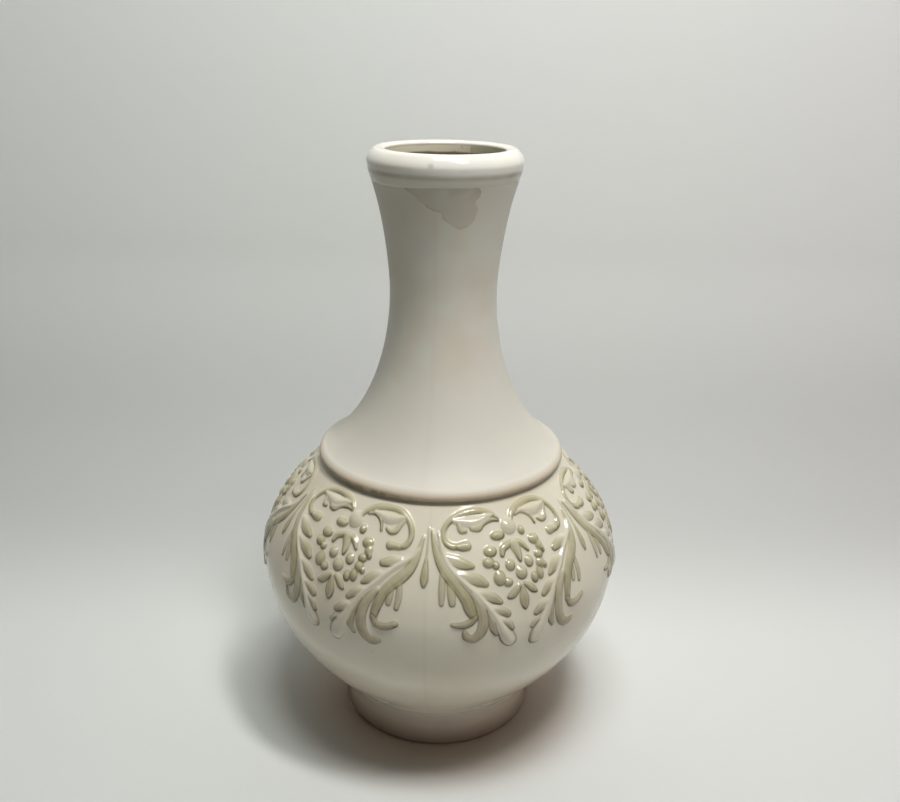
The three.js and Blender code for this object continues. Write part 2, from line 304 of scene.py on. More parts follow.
LEAVES = {
    Side.LEFT: LeafDrawing(
        frond=((-50.2, 15, 0.8), (-48.9, 20, 1.5), (-47.1, 25.5, 2.1), (-44.6, 31, 2.5),
               (-41.2, 36.2, 2.8), (-37.6, 40.4, 2.7), (-34.2, 44.6, 2.7), (-31.2, 49, 3.0),
               (-29.6, 53.2, 3.0), (-28.4, 56.6, 2.0)),
        hook=((-26.8, 57.4, 1.2), (-29.4, 59.8, 1.9), (-33.6, 61.3, 1.8), (-38.2, 60.9, 1.2)),
        curl=((-28, 46, 1.6), (-25, 51, 2.4), (-23.4, 56.5, 2.7), (-23.2, 62, 2.7), (-24.8, 66.4, 2.5),
              (-28.6, 69, 2.2), (-31.6, 67.4, 1.9), (-32.6, 64.6, 1.1)),
        inner=((-20.4, 54, 0.8), (-19, 59.5, 1.6), (-18.2, 64, 1.8), (-16.4, 67.6, 1.2)),
        fingers=(
            ((-43.6, 37, 1.5), (-43.9, 45, 1.7), (-44.1, 50.6, 1.1)),
            ((-39.6, 41, 1.7), (-38.9, 46.5, 2.1), (-38.6, 50.4, 1.7)),
        ),
        lobes=(
            ((-41, 27.6, 1.5), (-36, 29.9, 2.9), (-31, 31.8, 2.6), (-26.9, 32.8, 1.5)),
            ((-34.5, 36.2, 1.0), (-29, 38.3, 2.5), (-24, 40, 2.9), (-20.4, 42, 1.7)),
            ((-24.8, 45.6, 1.0), (-20, 47.6, 2.4), (-16, 49.9, 2.3), (-13.4, 51.6, 1.3)),
            ((-17.5, 54.2, 0.8), (-13.5, 55.8, 2.1), (-10.2, 58, 1.9)),
            ((-13, 60.4, 1.0), (-9.9, 62.8, 1.8), (-8.2, 65.8, 1.4)),
        ),
        tip=((-14.5, 63.5, 2.4), (-12.2, 67.5, 3.4), (-9.9, 71.2, 4.0), (-8.8, 73, 3.4)),
        rib=((-46.2, 16, 0.7), (-44.7, 21.4, 1.2), (-42.6, 27.9, 1.4), (-39.7, 32.9, 1.4),
             (-35.4, 37.5, 1.4), (-30.4, 42.1, 1.4), (-25.4, 46.8, 1.4), (-21.9, 51.1, 1.4),
             (-18.3, 56.1, 1.5), (-15.1, 61.4, 1.7), (-12.8, 66.1, 2.1), (-10.8, 70, 2.8),
             (-9.4, 72.2, 2.6)),
    ),
    Side.RIGHT: LeafDrawing(
        frond=((49.6, 18, 0.8), (48.2, 23, 1.4), (46.4, 29, 2.0), (43.2, 34.6, 2.7), (39, 39, 3.0),
               (34.6, 42.8, 2.8), (31, 47, 2.6), (28.8, 52, 2.5), (27.4, 56.6, 2.2), (26.8, 60.2, 1.8)),
        hook=((26.4, 59.6, 1.5), (28.8, 63.4, 1.9), (33.2, 64, 2.0), (38, 62, 1.6)),
        curl=((27, 46.8, 1.4), (23.4, 51, 2.2), (21, 56, 2.6), (20.2, 61.5, 2.6), (20.8, 67, 2.7),
              (23.4, 71.6, 2.5), (27, 73.2, 2.3), (29.4, 72.4, 1.6)),
        inner=((19, 52.4, 1.0), (16.2, 57.4, 1.8), (14.8, 62.6, 1.9), (14.8, 67.4, 1.8), (16.2, 70.6, 1.1)),
        fingers=(
            ((38.8, 42, 1.4), (39, 49, 1.7), (38.2, 54, 1.2)),
            ((34.8, 45.4, 1.4), (34.2, 49.6, 1.6), (33.8, 52, 1.4)),
        ),
        lobes=(
            ((38, 30.2, 1.1), (32.5, 31.7, 2.6), (27.4, 33.1, 1.9)),
            ((29.6, 38.4, 1.1), (24, 40.4, 2.7), (20, 43, 1.9), (18.2, 44.4, 1.0)),
            ((20.4, 46.9, 1.0), (15.4, 49.8, 2.1), (11.8, 52.8, 1.5)),
            ((13.6, 56.2, 1.0), (9.6, 58.4, 2.3), (5.9, 60.9, 1.6)),
            ((9, 64, 0.9), (5, 65.8, 1.8), (3.4, 67.4, 1.3)),
        ),
        tip=((9.8, 64.4, 2.4), (7.8, 69, 3.7), (6.4, 72.8, 4.3), (5.3, 75.2, 3.6)),
        rib=((47.4, 24, 0.8), (44.6, 27.8, 1.1), (40, 31.2, 1.3), (35.5, 34, 1.3), (31.3, 37.4, 1.3),
             (27, 41.8, 1.3), (22, 46.6, 1.3), (17.9, 51.6, 1.3), (14.6, 56.8, 1.5), (11.8, 62.1, 1.9),
             (9.2, 67.5, 2.7), (7.6, 71.6, 3.4), (6.6, 74.4, 2.9)),
    ),
}


@dataclass(frozen=True)
class ScrollDrawing:
    """A scroll above the grapes: an olive band that curls round a white swelling and ends in a ball.

    Attributes:
        under: Stations of the stained edge that shows below the swelling.
        band: Stations of the curling band.
        ball: Stations of the ball at the band's end.
        hook: Stations of the small hook inside the curl.
        swelling: Stations of the white swelling.
    """

    under: Run
    band: Run
    ball: Run
    hook: Run
    swelling: Run

    def strokes(self) -> list[Stroke]:
        """Lists the strokes, the ones that lie on top last."""
        return [
            Stroke(self.under, 1.3, 0.2, 0.0),
            Stroke(self.band, 1.6, 0.25, 0.15, 1),
            Stroke(self.ball, 1.9, 0.1, 0.1),
            Stroke(self.hook, 1.5, 0.5, 0.1),
            Stroke(self.swelling, 1.9, 0.95, 0.95),
        ]


SCROLLS = {
    Side.LEFT: ScrollDrawing(
        under=((-23.8, 13.7, 2.0), (-20, 13.9, 2.2), (-16.5, 12, 1.7), (-12, 10.7, 1.5), (-8, 10.8, 1.1),
               (-5, 11.6, 0.7)),
        band=((-5, 10.2, 0.8), (-8.5, 7.6, 1.4), (-14, 5.9, 1.7), (-20, 5.2, 1.8), (-27, 5.6, 1.7),
              (-32.8, 6.9, 1.6), (-37.8, 9.2, 1.6), (-41.6, 12.4, 1.6), (-43.3, 16, 1.6),
              (-42.4, 19.6, 1.6), (-38.6, 22.4, 1.7), (-34, 23, 1.6)),
        ball=((-34, 23, 1.6), (-31.4, 22.9, 2.3), (-28.6, 22.6, 2.5)),
        hook=((-33.4, 9.6, 1.0), (-32.6, 12, 1.5), (-31.6, 14.6, 1.8), (-28.6, 15.2, 1.1)),
        swelling=((-36, 9.9, 1.2), (-30, 10.2, 2.5), (-24, 10.8, 3.1), (-18.5, 10.4, 2.6), (-13, 8.8, 1.8),
                  (-9, 8.6, 0.9)),
    ),
    Side.RIGHT: ScrollDrawing(
        under=((8.8, 10.3, 1.0), (13.2, 9.6, 1.1), (17.6, 11.2, 1.1), (20.4, 14.4, 1.0), (21.2, 17.4, 0.8)),
        band=((3.6, 14, 0.8), (5.6, 10.4, 1.5), (10, 7.4, 1.8), (15.6, 5.8, 1.9), (22, 5.2, 1.8),
              (28, 5.4, 1.7), (34, 7.2, 1.7), (38.6, 10.6, 1.7), (41.2, 14.8, 1.8), (41.6, 19, 1.7),
              (39.4, 22.8, 1.7), (35.4, 24.3, 1.6)),
        ball=((35.4, 24.3, 1.6), (32.4, 24.1, 1.9), (29.4, 24, 2.4)),
        hook=((35.8, 10.8, 1.0), (33.2, 13.4, 1.5), (31, 16.6, 1.6), (27.6, 17.4, 1.3), (24.8, 16, 0.9)),
        swelling=((13, 9, 1.1), (19, 9.8, 2.4), (24.5, 10.6, 3.1), (30, 10.2, 2.5), (35, 9.4, 1.1)),
    ),
}


@dataclass(frozen=True)
class GrapeDrawing:
    """A cluster of grapes under a three-armed leaf, with three petals below."""

    berries: tuple[Berry, ...] = (
        Berry(-8.3, 19.4, 4.7, 2.3), Berry(8.9, 19, 2.4, 2.5), Berry(-15.1, 26.6, 4.0, 2.8),
        Berry(-13.4, 33.7, 2.2, 2.2), Berry(-17.2, 32, 3.4, 2.7), Berry(-7.8, 42.8, 2.7, 2.3),
        Berry(-12.2, 40.2, 3.4, 3.8), Berry(-4.7, 34.7, 2.9, 3.0, 2.2, 0.1),
        Berry(7.3, 35, 2.7, 3.0, 2.2, 0.15), Berry(1, 39.6, 3.4, 3.4, 2.3, 0.2),
        Berry(18.6, 31.2, 1.4, 2.0), Berry(17.2, 28.8, 2.4, 3.0),
        Berry(15.3, 25, 3.6, 2.8), Berry(14.9, 32.9, 2.8, 2.4), Berry(16.6, 39, 1.5, 1.8),
        Berry(14.2, 37.4, 2.8, 2.8), Berry(12.2, 42, 2.2, 3.4), Berry(8.3, 43.4, 2.1, 2.8),
        Berry(1, 15.4, 5.3, 4.6, 2.4, 0.75),
    )

    def strokes(self) -> list[Stroke]:
        """Lists the leaf over the grapes and the petals under them."""
        arch = ((-8.2, 29.2, 1.3), (-7, 26.4, 1.9), (-3.6, 24.8, 1.8), (1, 24.2, 1.9), (5.4, 25.3, 1.8),
                (8, 28, 1.4), (8.9, 29.4, 1.0))
        middle = ((1, 25.5, 3.4), (1.7, 28.5, 2.5), (2, 31.4, 1.8), (2, 33.6, 0.9))
        petals = (
            ((-1.6, 45.2, 0.9), (-4, 47.4, 1.8), (-6.6, 49.3, 2.0), (-8.4, 50, 1.1)),
            ((1.6, 45, 0.9), (3.8, 46.8, 1.7), (6, 48.8, 1.8), (7.4, 50, 0.9)),
            ((-0.3, 45.8, 0.8), (-0.2, 49, 1.8), (-0.1, 52.6, 2.7), (-0.1, 55.4, 1.9), (-0.1, 57.2, 0.7)),
        )
        return [
            Stroke(arch, 1.8, 0.1, 0.1),
            Stroke(middle, 2.0, 0.35, 0.1),
            *(Stroke(run, 1.6, 0.2, 0.0, 1) for run in petals),
        ]


@dataclass(frozen=True)
class BudDrawing:
    """The long bud that hangs on the line between two repeats."""

    line: float

    def strokes(self) -> list[Stroke]:
        """Lists the bud's stem and the bud."""
        stem = ((self.line, 13, 0.4), (self.line, 20, 0.5), (self.line - 0.3, 28, 0.7))
        bud = ((self.line - 0.3, 29, 0.8), (self.line - 0.7, 35.5, 1.9), (self.line - 0.9, 39, 2.1),
               (self.line - 1.1, 42.2, 0.9))
        return [Stroke(stem, 0.7, 0.6, 0.4), Stroke(bud, 1.5, 0.1, 0.0, 1)]


@dataclass
class Relief:
    """The raised ornament of one repeat, pressed into a height map that closes on itself all the way round.

    Attributes:
        width: Width of a repeat in the flat drawing.
        depth: How far the map runs down from the seat.
        step: Size of the map's cells.
        softness: How far the glaze rounds the clay's edges.
        swell: How far the ground rises under the ornament.
        swell_reach: How far that rise runs out past it.
        groove: How deep the grooves along a stroke are.
        fullness: How much of a shape's rise is left in it once it is softened.
        flatness: How flat a shape is on top.
        slackness: How gently it falls to its edge.
        edge_blur: Half the width over which its edge fades.
        line_inset: How far inside its edge the dark line lies.
        line_width: Half the dark line's width.
        bead_step: Distance between the beads that a stroke is pressed with.
        crest_reach: How far round a crest or a hollow the clay is compared with it.
        level_wash: How strong the stain is on level clay.
        crest_loss: How much weaker it is on a crest.
        hollow_gain: How much stronger it is in a hollow.
        lower_pool_and_shade_gain: How much stronger it is on the lower side of a shape: gathered glaze and
            painted shade.
        vein_gain: How much stronger it is in a groove along a stroke.
        halo_reach: How far a haze of stain runs out past the ornament.
        maps: The maps by name; rows run down from the seat and columns across the repeat.
    """

    width: float = 105.0
    depth: float = 84.0
    step: float = 0.25
    softness: float = 0.46
    swell: float = 0.45
    swell_reach: float = 2.4
    groove: float = 0.09
    fullness: float = 0.8
    flatness: float = 2.2
    slackness: float = 0.85
    edge_blur: float = 0.18
    line_inset: float = 0.14
    line_width: float = 0.4
    bead_step: float = 0.4
    crest_reach: float = 0.9
    level_wash: float = 0.74
    crest_loss: float = 0.2
    hollow_gain: float = 0.3
    lower_pool_and_shade_gain: float = 0.28
    vein_gain: float = 0.18
    halo_reach: float = 1.3
    maps: dict[str, np.ndarray] = field(default_factory=dict)

    def __post_init__(self) -> None:
        """Presses every stroke and berry, then softens the maps."""
        shape = (int(self.depth / self.step) + 1, int(self.width / self.step))
        self.maps = {name: np.zeros(shape) for name in ("height", "stain", "rim", "cover", "vein")}
        drawings = (
            BudDrawing(self.width / 2), *LEAVES.values(), *SCROLLS.values(), GrapeDrawing(),
        )
        for drawing in drawings:
            for stroke in drawing.strokes():
                self._press_stroke(stroke)
        for berry in GrapeDrawing().berries:
            self._press_berry(berry)
        self._finish_height()
        self._finish_stain()

    def _finish_height(self) -> None:
        """Rounds the clay as the glaze does, and raises the ground between the shapes."""
        mound = self._soften(self.maps["cover"], self.swell_reach)
        height = self._soften(self.maps["height"] - self.groove * self.maps["vein"], self.softness)
        self.maps["height"] = height + self.swell * mound * smooth_step(height, 1.2, 0.2)

    def _finish_stain(self) -> None:
        """Washes the stain thin over crests and lets it gather in grooves, at feet and on lower sides, the
        last partly painted shade.
        """
        height, maps = self.maps["height"], self.maps
        bulge = (height - self._soften(height, self.crest_reach)) / 0.4
        fall = self._soften(-np.gradient(height, self.step, axis=0), 0.3)
        lower = smooth_step(fall, -0.35, 0.75)
        stain = self._soften(maps["stain"], 0.32)
        gather = self.level_wash - self.crest_loss * np.clip(bulge, 0, 1)
        gather += self.hollow_gain * np.clip(-bulge, 0, 1)
        # Painted shade in part: stain is strengthened on the lower sides of shapes, which face away from the
        # light above.
        gather += self.lower_pool_and_shade_gain * lower
        gather += self.vein_gain * self._soften(maps["vein"], 0.35)
        maps["wash"] = np.clip(stain * gather, 0, 1)
        # Painted shade in part: the dark lines are drawn stronger on the lower sides of shapes.
        maps["rim"] = self._soften(maps["rim"], 0.16) * (0.35 + 0.65 * lower)
        maps["halo"] = self._soften(maps["cover"], self.halo_reach)

    def _window(self, low: np.ndarray, high: np.ndarray) -> tuple[np.ndarray, np.ndarray]:
        """Finds the map's cells between two corners, wrapped round the repeat.

        Args:
            low: Least across and down.
            high: Greatest across and down.

        Returns:
            The rows and the unwrapped columns.
        """
        rows = np.arange(max(int(low[1] / self.step), 0),
                         min(int(high[1] / self.step) + 2, self.maps["height"].shape[0]))
        columns = np.arange(int(math.floor((low[0] + self.width / 2) / self.step)),
                            int(math.ceil((high[0] + self.width / 2) / self.step)) + 1)
        return rows, columns

    def _lay(self, rows: np.ndarray, columns: np.ndarray, share: np.ndarray, edge: np.ndarray,
             rise: float, bare: np.ndarray | float, vein: np.ndarray | float) -> None:
        """Lays one shape over what is already pressed.

        Args:
            rows: The window's rows.
            columns: The window's unwrapped columns.
            share: Distance from the shape's middle as a share of its half width.
            edge: Distance from the shape's edge, negative inside, in millimetres.
            rise: How far the shape stands.
            bare: How bare of stain it is.
            vein: 1 in the grooves that run along it and 0 elsewhere.
        """
        place = np.ix_(rows, columns % self.maps["height"].shape[1])
        dome = rise * self.fullness * (1 - np.clip(share, 0, 1) ** self.flatness) ** self.slackness
        inside = smooth_step(edge, self.edge_blur, -self.edge_blur)
        well_in = smooth_step(edge, -0.2, -0.75)
        line = np.exp(-(((edge + self.line_inset) / self.line_width) ** 2)) * (1 - 0.8 * bare)
        maps = self.maps
        maps["height"][place] = np.maximum(maps["height"][place], dome)
        maps["stain"][place] += (1 - bare - maps["stain"][place]) * inside
        maps["rim"][place] = np.maximum(maps["rim"][place] * (1 - well_in * (0.75 + 0.25 * bare)), line)
        maps["cover"][place] = np.maximum(maps["cover"][place], inside)
        maps["vein"][place] += (vein - maps["vein"][place]) * inside

    def _press_stroke(self, stroke: Stroke) -> None:
        """Presses one stroke of clay into the maps."""
        beads = stroke.beads(self.bead_step)
        reach = beads[:, 2].max() + 1.0
        rows, columns = self._window(beads[:, :2].min(0) - reach, beads[:, :2].max(0) + reach)
        across = (columns * self.step - self.width / 2)[None, :, None]
        down = (rows * self.step)[:, None, None]
        away = np.hypot(across - beads[:, 0], down - beads[:, 1])
        ratio = away / beads[:, 2]
        nearest = ratio.argmin(axis=2)
        share = ratio.min(axis=2)
        edge = (away - beads[:, 2]).min(axis=2)
        along = smooth_step(nearest.astype(float), 0.0, len(beads) - 1.0)
        bare = stroke.bare + (stroke.bare_end - stroke.bare) * along
        vein = 0.0
        if stroke.veins:
            heading = np.gradient(beads[:, :2], axis=0)
            heading /= np.linalg.norm(heading, axis=1)[:, None]
            off_across, off_down = across[..., 0] - beads[nearest, 0], down[..., 0] - beads[nearest, 1]
            aside = (heading[nearest, 0] * off_down - heading[nearest, 1] * off_across) / beads[nearest, 2]
            vein = (0.5 - 0.5 * np.cos(aside * math.pi * (stroke.veins + 1) + math.pi * stroke.veins)) ** 3
        self._lay(rows, columns, share, edge, stroke.rise, bare, vein)

    def _press_berry(self, berry: Berry) -> None:
        """Presses one berry into the maps."""
        middle = np.array([berry.across, berry.down])
        half = np.array([berry.half_across, berry.half_down])
        rows, columns = self._window(middle - half - 1.0, middle + half + 1.0)
        across = (columns * self.step - self.width / 2)[None, :]
        down = (rows * self.step)[:, None]
        share = np.hypot((across - middle[0]) / half[0], (down - middle[1]) / half[1])
        self._lay(rows, columns, share, (share - 1) * half.min(), berry.rise, berry.bare, 0.0)

    def _soften(self, field_map: np.ndarray, spread: float) -> np.ndarray:
        """Blurs a map, round the repeat and down it, by a spread in millimetres."""
        sigma = spread / self.step
        reach = int(math.ceil(sigma * 3))
        kernel = np.exp(-0.5 * (np.arange(-reach, reach + 1) / sigma) ** 2)
        kernel /= kernel.sum()
        padded = np.pad(field_map, ((reach, reach), (0, 0)), mode="edge")
        down = sum(k * padded[i:i + field_map.shape[0]] for i, k in enumerate(kernel))
        return sum(k * np.roll(down, i - reach, axis=1) for i, k in enumerate(kernel))

    def read(self, name: str, across: np.ndarray, down: np.ndarray) -> np.ndarray:
        """Reads a map between its cells.

        Args:
            name: Which map.
            across: Places across the repeat.
            down: Places down from the seat.

        Returns:
            The map's value at each place, fading to nothing past its depth.
        """
        field_map = self.maps[name]
        x = (across + self.width / 2) / self.step
        y = np.clip(down / self.step, 0, field_map.shape[0] - 1.001)
        x0, y0 = np.floor(x).astype(int), np.floor(y).astype(int)
        fx, fy = x - x0, y - y0
        wide = field_map.shape[1]
        left, right = x0 % wide, (x0 + 1) % wide
        upper = field_map[y0, left] * (1 - fx) + field_map[y0, right] * fx
        lower = field_map[y0 + 1, left] * (1 - fx) + field_map[y0 + 1, right] * fx
        inside = (down >= 0) & (down <= self.depth)
        return (upper * (1 - fy) + lower * fy) * inside


def keep_values(mesh: bpy.types.Mesh, name: str, values: np.ndarray) -> None:
    """Keeps one number at each of a mesh's points, for materials and trees to read."""
    kept = mesh.attributes.new(name, "FLOAT", "POINT")
    kept.data.foreach_set("value", values.reshape(-1).astype(np.float32))


def point_places(mesh: bpy.types.Mesh) -> np.ndarray:
    """Reads the places of a mesh's points, one row each."""
    places = np.empty(len(mesh.vertices) * 3, np.float32)
    mesh.vertices.foreach_get("co", places)
    return places.reshape(-1, 3)


def link(name: str, data: bpy.types.ID) -> bpy.types.Object:
    """Makes an object of some data and links it to the scene."""
    made = bpy.data.objects.new(name, data)
    bpy.context.scene.collection.objects.link(made)
    return made


def grid_mesh(name: str, places: np.ndarray, tones: dict[str, np.ndarray]) -> bpy.types.Mesh:
    """Makes a mesh of quads from rows and columns of places.

    Args:
        name: The mesh's name.
        places: Rows, columns and coordinates, in metres; faces look outwards where rows run down and columns
            run towards +X as seen from the front.
        tones: Values kept at each place, by attribute name.

    Returns:
        The mesh, shaded smooth.
    """
    rows, columns = places.shape[:2]
    index = np.arange(rows * columns).reshape(rows, columns)
    corners = [index[:-1, :-1], index[1:, :-1], index[1:, 1:], index[:-1, 1:]]
    quads = np.stack(corners, axis=-1).reshape(-1, 4)
    mesh = bpy.data.meshes.new(name)
    mesh.vertices.add(rows * columns)
    mesh.vertices.foreach_set("co", places.reshape(-1).astype(np.float32))
    mesh.loops.add(quads.size)
    mesh.loops.foreach_set("vertex_index", quads.reshape(-1).astype(np.int32))
    mesh.polygons.add(len(quads))
    mesh.polygons.foreach_set("loop_start", np.arange(0, quads.size, 4, dtype=np.int32))
    mesh.update(calc_edges=True)
    mesh.shade_smooth()
    for tone, values in tones.items():
        keep_values(mesh, tone, values)
    return mesh


def outline_object(name: str, points: np.ndarray, tones: np.ndarray) -> bpy.types.Object:
    """Makes a hidden line of radius and level for the turning tree to read.

    Args:
        name: The object's name.
        points: Radius and level in millimetres.
        tones: One value for each point.

    Returns:
        The object, linked and hidden.
    """
    places = np.stack([points[:, 0], np.zeros(len(points)), points[:, 1]], axis=1) * MM
    mesh = bpy.data.meshes.new(name)
    mesh.from_pydata([tuple(p) for p in places], [(i, i + 1) for i in range(len(points) - 1)], [])
    keep_values(mesh, "tone", tones)
    line = link(name, mesh)
    line.hide_render = True
    return line


class Graph:
    """A node tree under construction."""

    def __init__(self, tree: bpy.types.NodeTree) -> None:
        """Starts on a tree."""
        self.tree = tree

    def add(self, kind: str, inputs: dict, **settings) -> bpy.types.NodeOutputs:
        """Adds a node.

        Args:
            kind: The node's type.
            inputs: A socket or a value by input name or index; a colour has three numbers.
            **settings: The node's own settings.

        Returns:
            The node's outputs.
        """
        node = self.tree.nodes.new(kind)
        for key, value in settings.items():
            setattr(node, key, value)
        for key, value in inputs.items():
            if isinstance(value, Socket):
                self.tree.links.new(value, node.inputs[key])
            elif isinstance(value, tuple) and node.inputs[key].type == "RGBA":
                node.inputs[key].default_value = (*value, 1.0)
            else:
                node.inputs[key].default_value = value
        return node.outputs

    def math(self, operation: str, first, second=0.0) -> Socket:
        """Adds an operation on one or two numbers."""
        return self.add("ShaderNodeMath", {0: first, 1: second}, operation=operation)[0]

    def plus(self, first, second) -> Socket:
        """Adds two numbers up."""
        return self.math("ADD", first, second)

    def minus(self, first, second) -> Socket:
        """Takes the second number from the first."""
        return self.math("SUBTRACT", first, second)

    def times(self, first, second) -> Socket:
        """Multiplies two numbers."""
        return self.math("MULTIPLY", first, second)

    def lift(self, value, base, gain) -> Socket:
        """Raises a base by a value times a gain."""
        return self.plus(base, self.times(value, gain))

    def off(self, value, middle) -> Socket:
        """Measures how far a value is from a middle."""
        return self.math("ABSOLUTE", self.minus(value, middle))


class Tree(Graph):
    """A Geometry Nodes tree under construction, with named inputs."""

    def __init__(self, name: str, inputs: dict[str, str]) -> None:
        """Starts a tree.

        Args:
            name: The tree's name.
            inputs: Kind of socket by input name.
        """
        super().__init__(bpy.data.node_groups.new(name, "GeometryNodeTree"))
        sockets = self.tree.interface
        for label, kind in inputs.items():
            sockets.new_socket(name=label, in_out="INPUT", socket_type="NodeSocket" + kind)
        sockets.new_socket(name="Geometry", in_out="OUTPUT", socket_type="NodeSocketGeometry")
        self.given = self.tree.nodes.new("NodeGroupInput").outputs

    def finish(self, geometry: Socket) -> bpy.types.NodeTree:
        """Realizes, dresses and hands out the geometry."""
        real = self.add("GeometryNodeRealizeInstances", {"Geometry": geometry})[0]
        smooth = self.add("GeometryNodeSetShadeSmooth", {"Geometry": real})[0]
        dress = {"Geometry": smooth, "Material": self.given["Finish"]}
        self.add("NodeGroupOutput", {0: self.add("GeometryNodeSetMaterial", dress)[0]})
        return self.tree


def turning_tree() -> bpy.types.NodeTree:
    """Builds the tree that turns an outline about the Z axis, as a potter's wheel does.

    Returns:
        The tree, with inputs Outline, Segments, Wobble, Seed and Finish.
    """
    tree = Tree("turn_outline", {
        "Outline": "Object", "Segments": "Int", "Wobble": "Float", "Seed": "Float", "Finish": "Material"})
    line = tree.add("GeometryNodeObjectInfo", {"Object": tree.given["Outline"]})["Geometry"]
    rows = tree.add("GeometryNodeAttributeDomainSize", {"Geometry": line}, component="MESH")["Point Count"]
    columns = tree.plus(tree.given["Segments"], 1.0)
    sheet = tree.add("GeometryNodeMeshGrid", {
        "Size X": 1.0, "Size Y": 1.0, "Vertices X": rows, "Vertices Y": columns})["Mesh"]
    place = tree.add("GeometryNodeInputPosition", {})[0]
    apart = tree.add("ShaderNodeSeparateXYZ", {0: place})
    row = tree.math("ROUND", tree.times(tree.plus(apart["X"], 0.5), tree.minus(rows, 1.0)))
    angle = tree.times(tree.plus(apart["Y"], 0.5), math.tau)
    sine, cosine = tree.math("SINE", angle), tree.math("COSINE", angle)

    def sample(value: Socket, kind: str) -> Socket:
        """Reads a value of the outline at the row."""
        inputs = {"Geometry": line, "Value": value, "Index": row}
        return tree.add("GeometryNodeSampleIndex", inputs, data_type=kind)[0]

    def swing(reach: Socket, level) -> Socket:
        """Swings a reach round to the angle."""
        y = tree.times(tree.times(reach, cosine), -1.0)
        return tree.add("ShaderNodeCombineXYZ", {"X": tree.times(reach, sine), "Y": y, "Z": level})[0]

    kept = tree.add("GeometryNodeInputNamedAttribute", {"Name": "tone"}, data_type="FLOAT")[0]
    tone = {"Geometry": sheet, "Name": "tone", "Value": sample(kept, "FLOAT")}
    toned = tree.add("GeometryNodeStoreNamedAttribute", tone, data_type="FLOAT", domain="POINT")[0]
    parts = tree.add("ShaderNodeSeparateXYZ", {0: sample(place, "FLOAT_VECTOR")})
    spun = swing(parts["X"], parts["Z"])
    noise = tree.add("ShaderNodeTexNoise", {
        "Vector": spun, "W": tree.given["Seed"], "Scale": 16.0, "Detail": 1.0}, noise_dimensions="4D")["Fac"]
    push = tree.times(tree.minus(noise, 0.5), tree.given["Wobble"])
    moved = {"Geometry": toned, "Position": spun, "Offset": swing(push, 0.0)}
    turned = tree.add("GeometryNodeSetPosition", moved)[0]
    return tree.finish(tree.add("GeometryNodeMergeByDistance", {"Geometry": turned, "Distance": WELD})[0])


def sector_tree() -> bpy.types.NodeTree:
    """Builds the tree that sets one repeat at its turn round the belly.

    Returns:
        The tree, with inputs Panel, Turn and Finish.
    """
    tree = Tree("set_repeat", {"Panel": "Object", "Turn": "Float", "Finish": "Material"})
    source = {"Object": tree.given["Panel"], "As Instance": True}
    panel = tree.add("GeometryNodeObjectInfo", source)["Geometry"]
    spin = tree.add("ShaderNodeCombineXYZ", {"Z": tree.given["Turn"]})[0]
    turn = tree.add("FunctionNodeEulerToRotation", {0: spin})[0]
    return tree.finish(tree.add("GeometryNodeTransform", {"Geometry": panel, "Rotation": turn})[0])


def grow(name: str, tree: bpy.types.NodeTree, inputs: dict) -> bpy.types.Object:
    """Runs a tree and keeps its result as a plain mesh.

    Args:
        name: The new piece's name.
        tree: The tree to run.
        inputs: Values by input name.

    Returns:
        The piece, linked, at the origin, with no modifier.
    """
    carrier = link(name + "_carrier", bpy.data.meshes.new(name + "_carrier"))
    modifier = carrier.modifiers.new(tree.name, "NODES")
    modifier.node_group = tree
    for item in tree.interface.items_tree:
        if item.in_out == "INPUT":
            modifier[item.identifier] = inputs[item.name]
    graph = bpy.context.evaluated_depsgraph_get()
    mesh = bpy.data.meshes.new_from_object(carrier.evaluated_get(graph))
    bpy.data.objects.remove(carrier)
    mesh.name = name
    return link(name, mesh)


def face_outwards(mesh: bpy.types.Mesh) -> None:
    """Turns a closed mesh the right way round if its faces look inwards."""
    mesh.calc_loop_triangles()
    corners = np.empty(len(mesh.loop_triangles) * 3, np.int32)
    mesh.loop_triangles.foreach_get("vertices", corners)
    a, b, c = np.moveaxis(point_places(mesh)[corners.reshape(-1, 3)].astype(float), 1, 0)
    if (a * np.cross(b, c)).sum() < 0:
        mesh.flip_normals()


def turn_piece(name: str, points: np.ndarray, tones: np.ndarray, finish: bpy.types.Material, seed: float,
               segments: int = 288, wobble: float = 0.0) -> bpy.types.Object:
    """Turns an outline into a closed piece.

    Args:
        name: The piece's name.
        points: Radius and level along the closed outline, in millimetres.
        tones: One value for each point, kept on the mesh as tone.
        finish: The piece's material.
        seed: Where in the noise the wobble is read.
        segments: Steps round the piece.
        wobble: How far the turned wall strays, in metres.

    Returns:
        The piece, linked, with its faces outwards.
    """
    line = outline_object(name + "_outline", points, tones)
    piece = grow(name, turning_tree(), {
        "Outline": line, "Segments": segments, "Wobble": wobble, "Seed": seed, "Finish": finish})
    bpy.data.objects.remove(line)
    face_outwards(piece.data)
    return piece


def settle(piece: bpy.types.Object, nodes: list[str]) -> None:
    """Ties a finished piece to the frame and reports it.

    Args:
        piece: The piece.
        nodes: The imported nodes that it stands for.
    """
    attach(piece, BODY)
    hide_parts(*nodes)
    piece.data.calc_loop_triangles()
    LOG.info("%s: %d triangles, stands for %s", piece.name, len(piece.data.loop_triangles), ", ".join(nodes))


